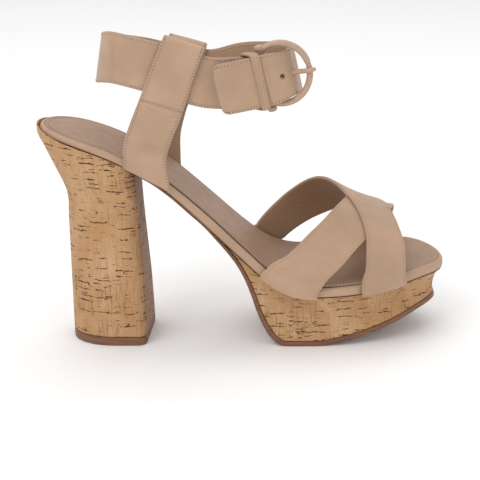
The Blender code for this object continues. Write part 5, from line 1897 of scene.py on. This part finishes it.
@dataclass
class SideStrap:
    """A strap from the footbed's edge up to its sewn loop round the ankle strap."""

    ankle: AnkleStrap
    side: Side
    node: str
    loop_row: int
    foot_x: float
    width: float = 21.7 * MM
    thickness: float = 1.8 * MM
    slack: float = 0.8 * MM
    seam_length: float = 4.0 * MM
    detail: int = 9
    rows: Track = Track(
        ("rise", "LATERAL", "MEDIAL", "wide", "lean"),
        ((0.00, 0.08, 0.05, 1.27, 28.0), (0.09, 0.00, 0.01, 1.19, 26.0), (0.18, -0.11, -0.04, 1.10, 18.0),
         (0.38, -0.15, -0.12, 1.08, 14.0), (0.57, -0.11, -0.12, 1.08, 14.0),
         (0.72, -0.08, -0.08, 1.07, 14.0), (1.00, -0.05, -0.02, 1.04, 14.0), (1.28, 0.01, 0.00, 1.00, 14.0)))
    outer_rises: tuple[float, ...] = (0.0, 0.09, 0.18, 0.28, 0.38, 0.50, 0.62, 0.70, 0.75, 0.88, 1.00, 1.14)

    def lay(self) -> tuple[StrapPath, float]:
        """Lay the strap from its foot up, over the ankle strap and back down to its seam.

        Returns:
            The strap's path, and the distance along it at which it passes its seam.
        """
        side = self.side.value
        loop = self.ankle.ring_point(self.loop_row)
        run = self.ankle.ring_point(self.loop_row + 1) - self.ankle.ring_point(self.loop_row - 1)
        run.normalize()
        widest = max(LAST.half_width(self.foot_x + k * self.width, self.side)
                     for k in (-0.6, -0.3, 0.0, 0.3, 0.6))
        foot_y = side * (widest + CLEARANCE + self.thickness / 2)
        foot = LAST.lift(self.foot_x, foot_y, -LAST.edge_at(self.foot_x))
        reach = (loop - foot).length
        up = (loop - foot).normalized()
        along = run * math.copysign(1.0, run.x)
        skew = along.dot(up)
        along = (along - up * skew).normalized()
        out = along.cross(up)
        out *= math.copysign(1.0, out.y * side)
        layer = self.ankle.thickness / 2 + self.slack + self.thickness / 2
        slot = self.ankle.width / 2 + self.slack + 1.2 * abs(skew) * self.width / 2
        knots: list[tuple[Vector, Vector, float]] = []

        def add_knot(rise: float, offset: float) -> None:
            """Add a knot of the strap's middle line at a rise and an offset outwards."""
            shift = self.rows.at(self.side.name, rise) * self.width
            lean = math.radians(self.rows.at("lean", min(rise, 1.0)))
            across = Vector((math.cos(lean), 0.0, -math.sin(lean)))
            blend = min(max((rise - 0.4) / 0.4, 0.0), 1.0)
            across = across.lerp(along, blend) * -side
            half = self.rows.at("wide", min(rise, 1.3)) * self.width / 2
            knots.append((foot.lerp(loop, rise) + along * shift + out * offset, across, half))

        for rise in self.outer_rises:
            add_knot(rise, layer * min(max((rise - 0.12) / 0.5, 0.0), 1.0))
        for degrees in (0, 45, 90, 135, 180):
            angle = math.radians(degrees)
            add_knot(1.0 + (slot - 0.3 * layer + layer * math.sin(angle)) / reach, layer * math.cos(angle))
        seam = 1.0 - (slot + 0.75 * self.seam_length) / reach
        lap = layer - self.thickness - CLEARANCE
        add_knot(1.0, -layer)
        add_knot(1.0 - 0.9 * slot / reach, -0.9 * layer)
        add_knot(1.0 - 1.12 * slot / reach, 0.1 * lap - 0.2 * layer)
        add_knot(seam, lap)
        add_knot(seam - 0.5 * self.seam_length / reach, lap)
        path = StrapPath.through(knots, self.detail, squared=False)
        distances = zip(path.centres, run_lengths(path.centres))
        return path, next(length for centre, length in distances if (centre - foot).length >= reach * seam)

    def build(self, palette: Palette) -> None:
        """Build the strap and its stitches."""
        path, seam_at = self.lay()
        skin = StrapSkin(self.thickness, creases=(
            *creases(seam_at, (0.0, 0.0, 60.0, 90.0, 0.30, 0.7), (-4.0, 7.0, 8.0, 65.0, 0.14, 0.6),
                     (-6.5, 8.0, 7.0, 75.0, 0.12, 0.6), (-3.0, -4.0, 9.0, 100.0, 0.12, 0.7),
                     (-22.0, 0.0, 22.0, 84.0, 0.12, 2.6)),
            *creases(0.0, (16.0, 2.0, 24.0, 80.0, 0.14, 2.8))))
        rings, shades = skin.rings(path)
        maker = MeshMaker(self.node + "_leather")
        maker.sweep(rings, shades, skin.faces(path.halves[0]))
        made = maker.finish([palette.leather, palette.lining], "leather", 60.0)
        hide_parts(self.node)
        stitches = StitchRun(self.node + "_stitches")
        stop = len(path.centres) - 4 * self.detail
        for edge in (-1, 1):
            points, normals = skin.line(path, edge)
            stitches.sew(points[:stop], normals[:stop])
        lengths = run_lengths(path.centres)
        nearest = min(range(len(lengths)), key=lambda i: abs(lengths[i] - seam_at))
        stitches.sew(*skin.crossing(path, nearest, skin.line_inset, skin.thread_bed))
        stitches.finish(palette.thread)


# Studio


@dataclass(frozen=True)
class Light:
    """A soft area light."""

    name: str
    place: Colour
    size: float
    power: float


@dataclass
class Studio:
    """Floor, lights and the camera at the photograph's angle."""

    distance: float = 700.0 * MM
    elevation: float = math.radians(18.0)
    target: Vector = field(default_factory=lambda: Vector((71.803, 0.0, 54.828)) * MM)
    lens: float = 94.5
    sensor: float = 36.0
    floor_size: float = 8.0
    cove_start: float = 2.2
    cove_radius: float = 1.2
    cove_height: float = 4.5
    room_light: float = 0.78
    lights: tuple[Light, ...] = (
        Light("key_light", (-0.75, -1.0, 1.35), 1.1, 9.0), Light("fill_light", (1.3, -1.1, 0.7), 1.4, 2.5),
        Light("top_light", (0.1, 0.5, 1.6), 1.3, 6.5))

    def build_camera(self) -> None:
        """Set the camera where the photograph's was."""
        data = bpy.data.cameras.new("photo_camera")
        data.lens = self.lens
        data.sensor_width = self.sensor
        data.sensor_fit = "HORIZONTAL"
        data.clip_start = 0.01
        camera = add_object("photo_camera", data)
        back = Vector((0.0, -math.cos(self.elevation), math.sin(self.elevation)))
        camera.location = self.target + back * self.distance
        camera.rotation_euler = (math.pi / 2 - self.elevation, 0.0, 0.0)
        bpy.context.scene.camera = camera

    def add_light(self, light: Light) -> None:
        """Hang a light that looks at the shoe."""
        data = bpy.data.lights.new(light.name, "AREA")
        data.size = light.size
        data.energy = light.power
        lamp = add_object(light.name, data)
        lamp.location = light.place
        look = (self.target - lamp.location).normalized()
        lamp.rotation_euler = look.to_track_quat("-Z", "Y").to_euler()

    def build_floor(self, palette: Palette) -> None:
        """The pale floor, curving up far behind the shoe."""
        maker = MeshMaker("floor")
        half, start, radius = self.floor_size / 2, self.cove_start, self.cove_radius
        profile = [(-half, 0.0), (start, 0.0)]
        for k in range(1, 13):
            angle = math.pi / 2 * k / 12
            profile.append((start + radius * math.sin(angle), radius * (1 - math.cos(angle))))
        profile.append((start + radius, self.cove_height))
        rows = [[maker.vert(Vector((x, y, z))) for x in (-half, half)] for y, z in profile]
        for one, two in zip(rows, rows[1:]):
            corners = (one[0], one[1], two[1], two[0])
            maker.face(corners, [(v.co.x, v.co.y) for v in corners])
        data = bpy.data.meshes.new("floor")
        maker.mesh.to_mesh(data)
        maker.mesh.free()
        data.materials.append(palette.floor)
        data.shade_smooth()
        floor = add_object("floor", data)

    def build(self, palette: Palette) -> None:
        """Build the studio."""
        self.build_floor(palette)
        self.build_camera()
        for light in self.lights:
            self.add_light(light)
        world = bpy.data.worlds.new("pale_room")
        world.use_nodes = True
        back = world.node_tree.nodes["Background"]
        back.inputs["Color"].default_value = (1.0, 1.0, 1.0, 1.0)
        back.inputs["Strength"].default_value = self.room_light
        bpy.context.scene.world = world


def main() -> None:
    """Build the shoe piece by piece, then the studio."""
    logging.basicConfig(level=logging.INFO, format="%(name)s: %(message)s")
    bpy.context.scene.view_settings.view_transform = "Standard"
    palette = Palette()
    heel = Heel()
    heel.build(palette)
    Sole(heel).build(palette)
    Footbed().build(palette)
    FrontStraps().build(palette)
    ankle = AnkleStrap()
    ankle.build(palette)
    Buckle(ankle).build(palette)
    SideStrap(ankle, Side.LATERAL, "side_strap_lateral", 2, 23.5 * MM).build(palette)
    SideStrap(ankle, Side.MEDIAL, "side_strap_medial", 10, 27.5 * MM).build(palette)
    Studio().build(palette)


if __name__ == "__main__":
    main()
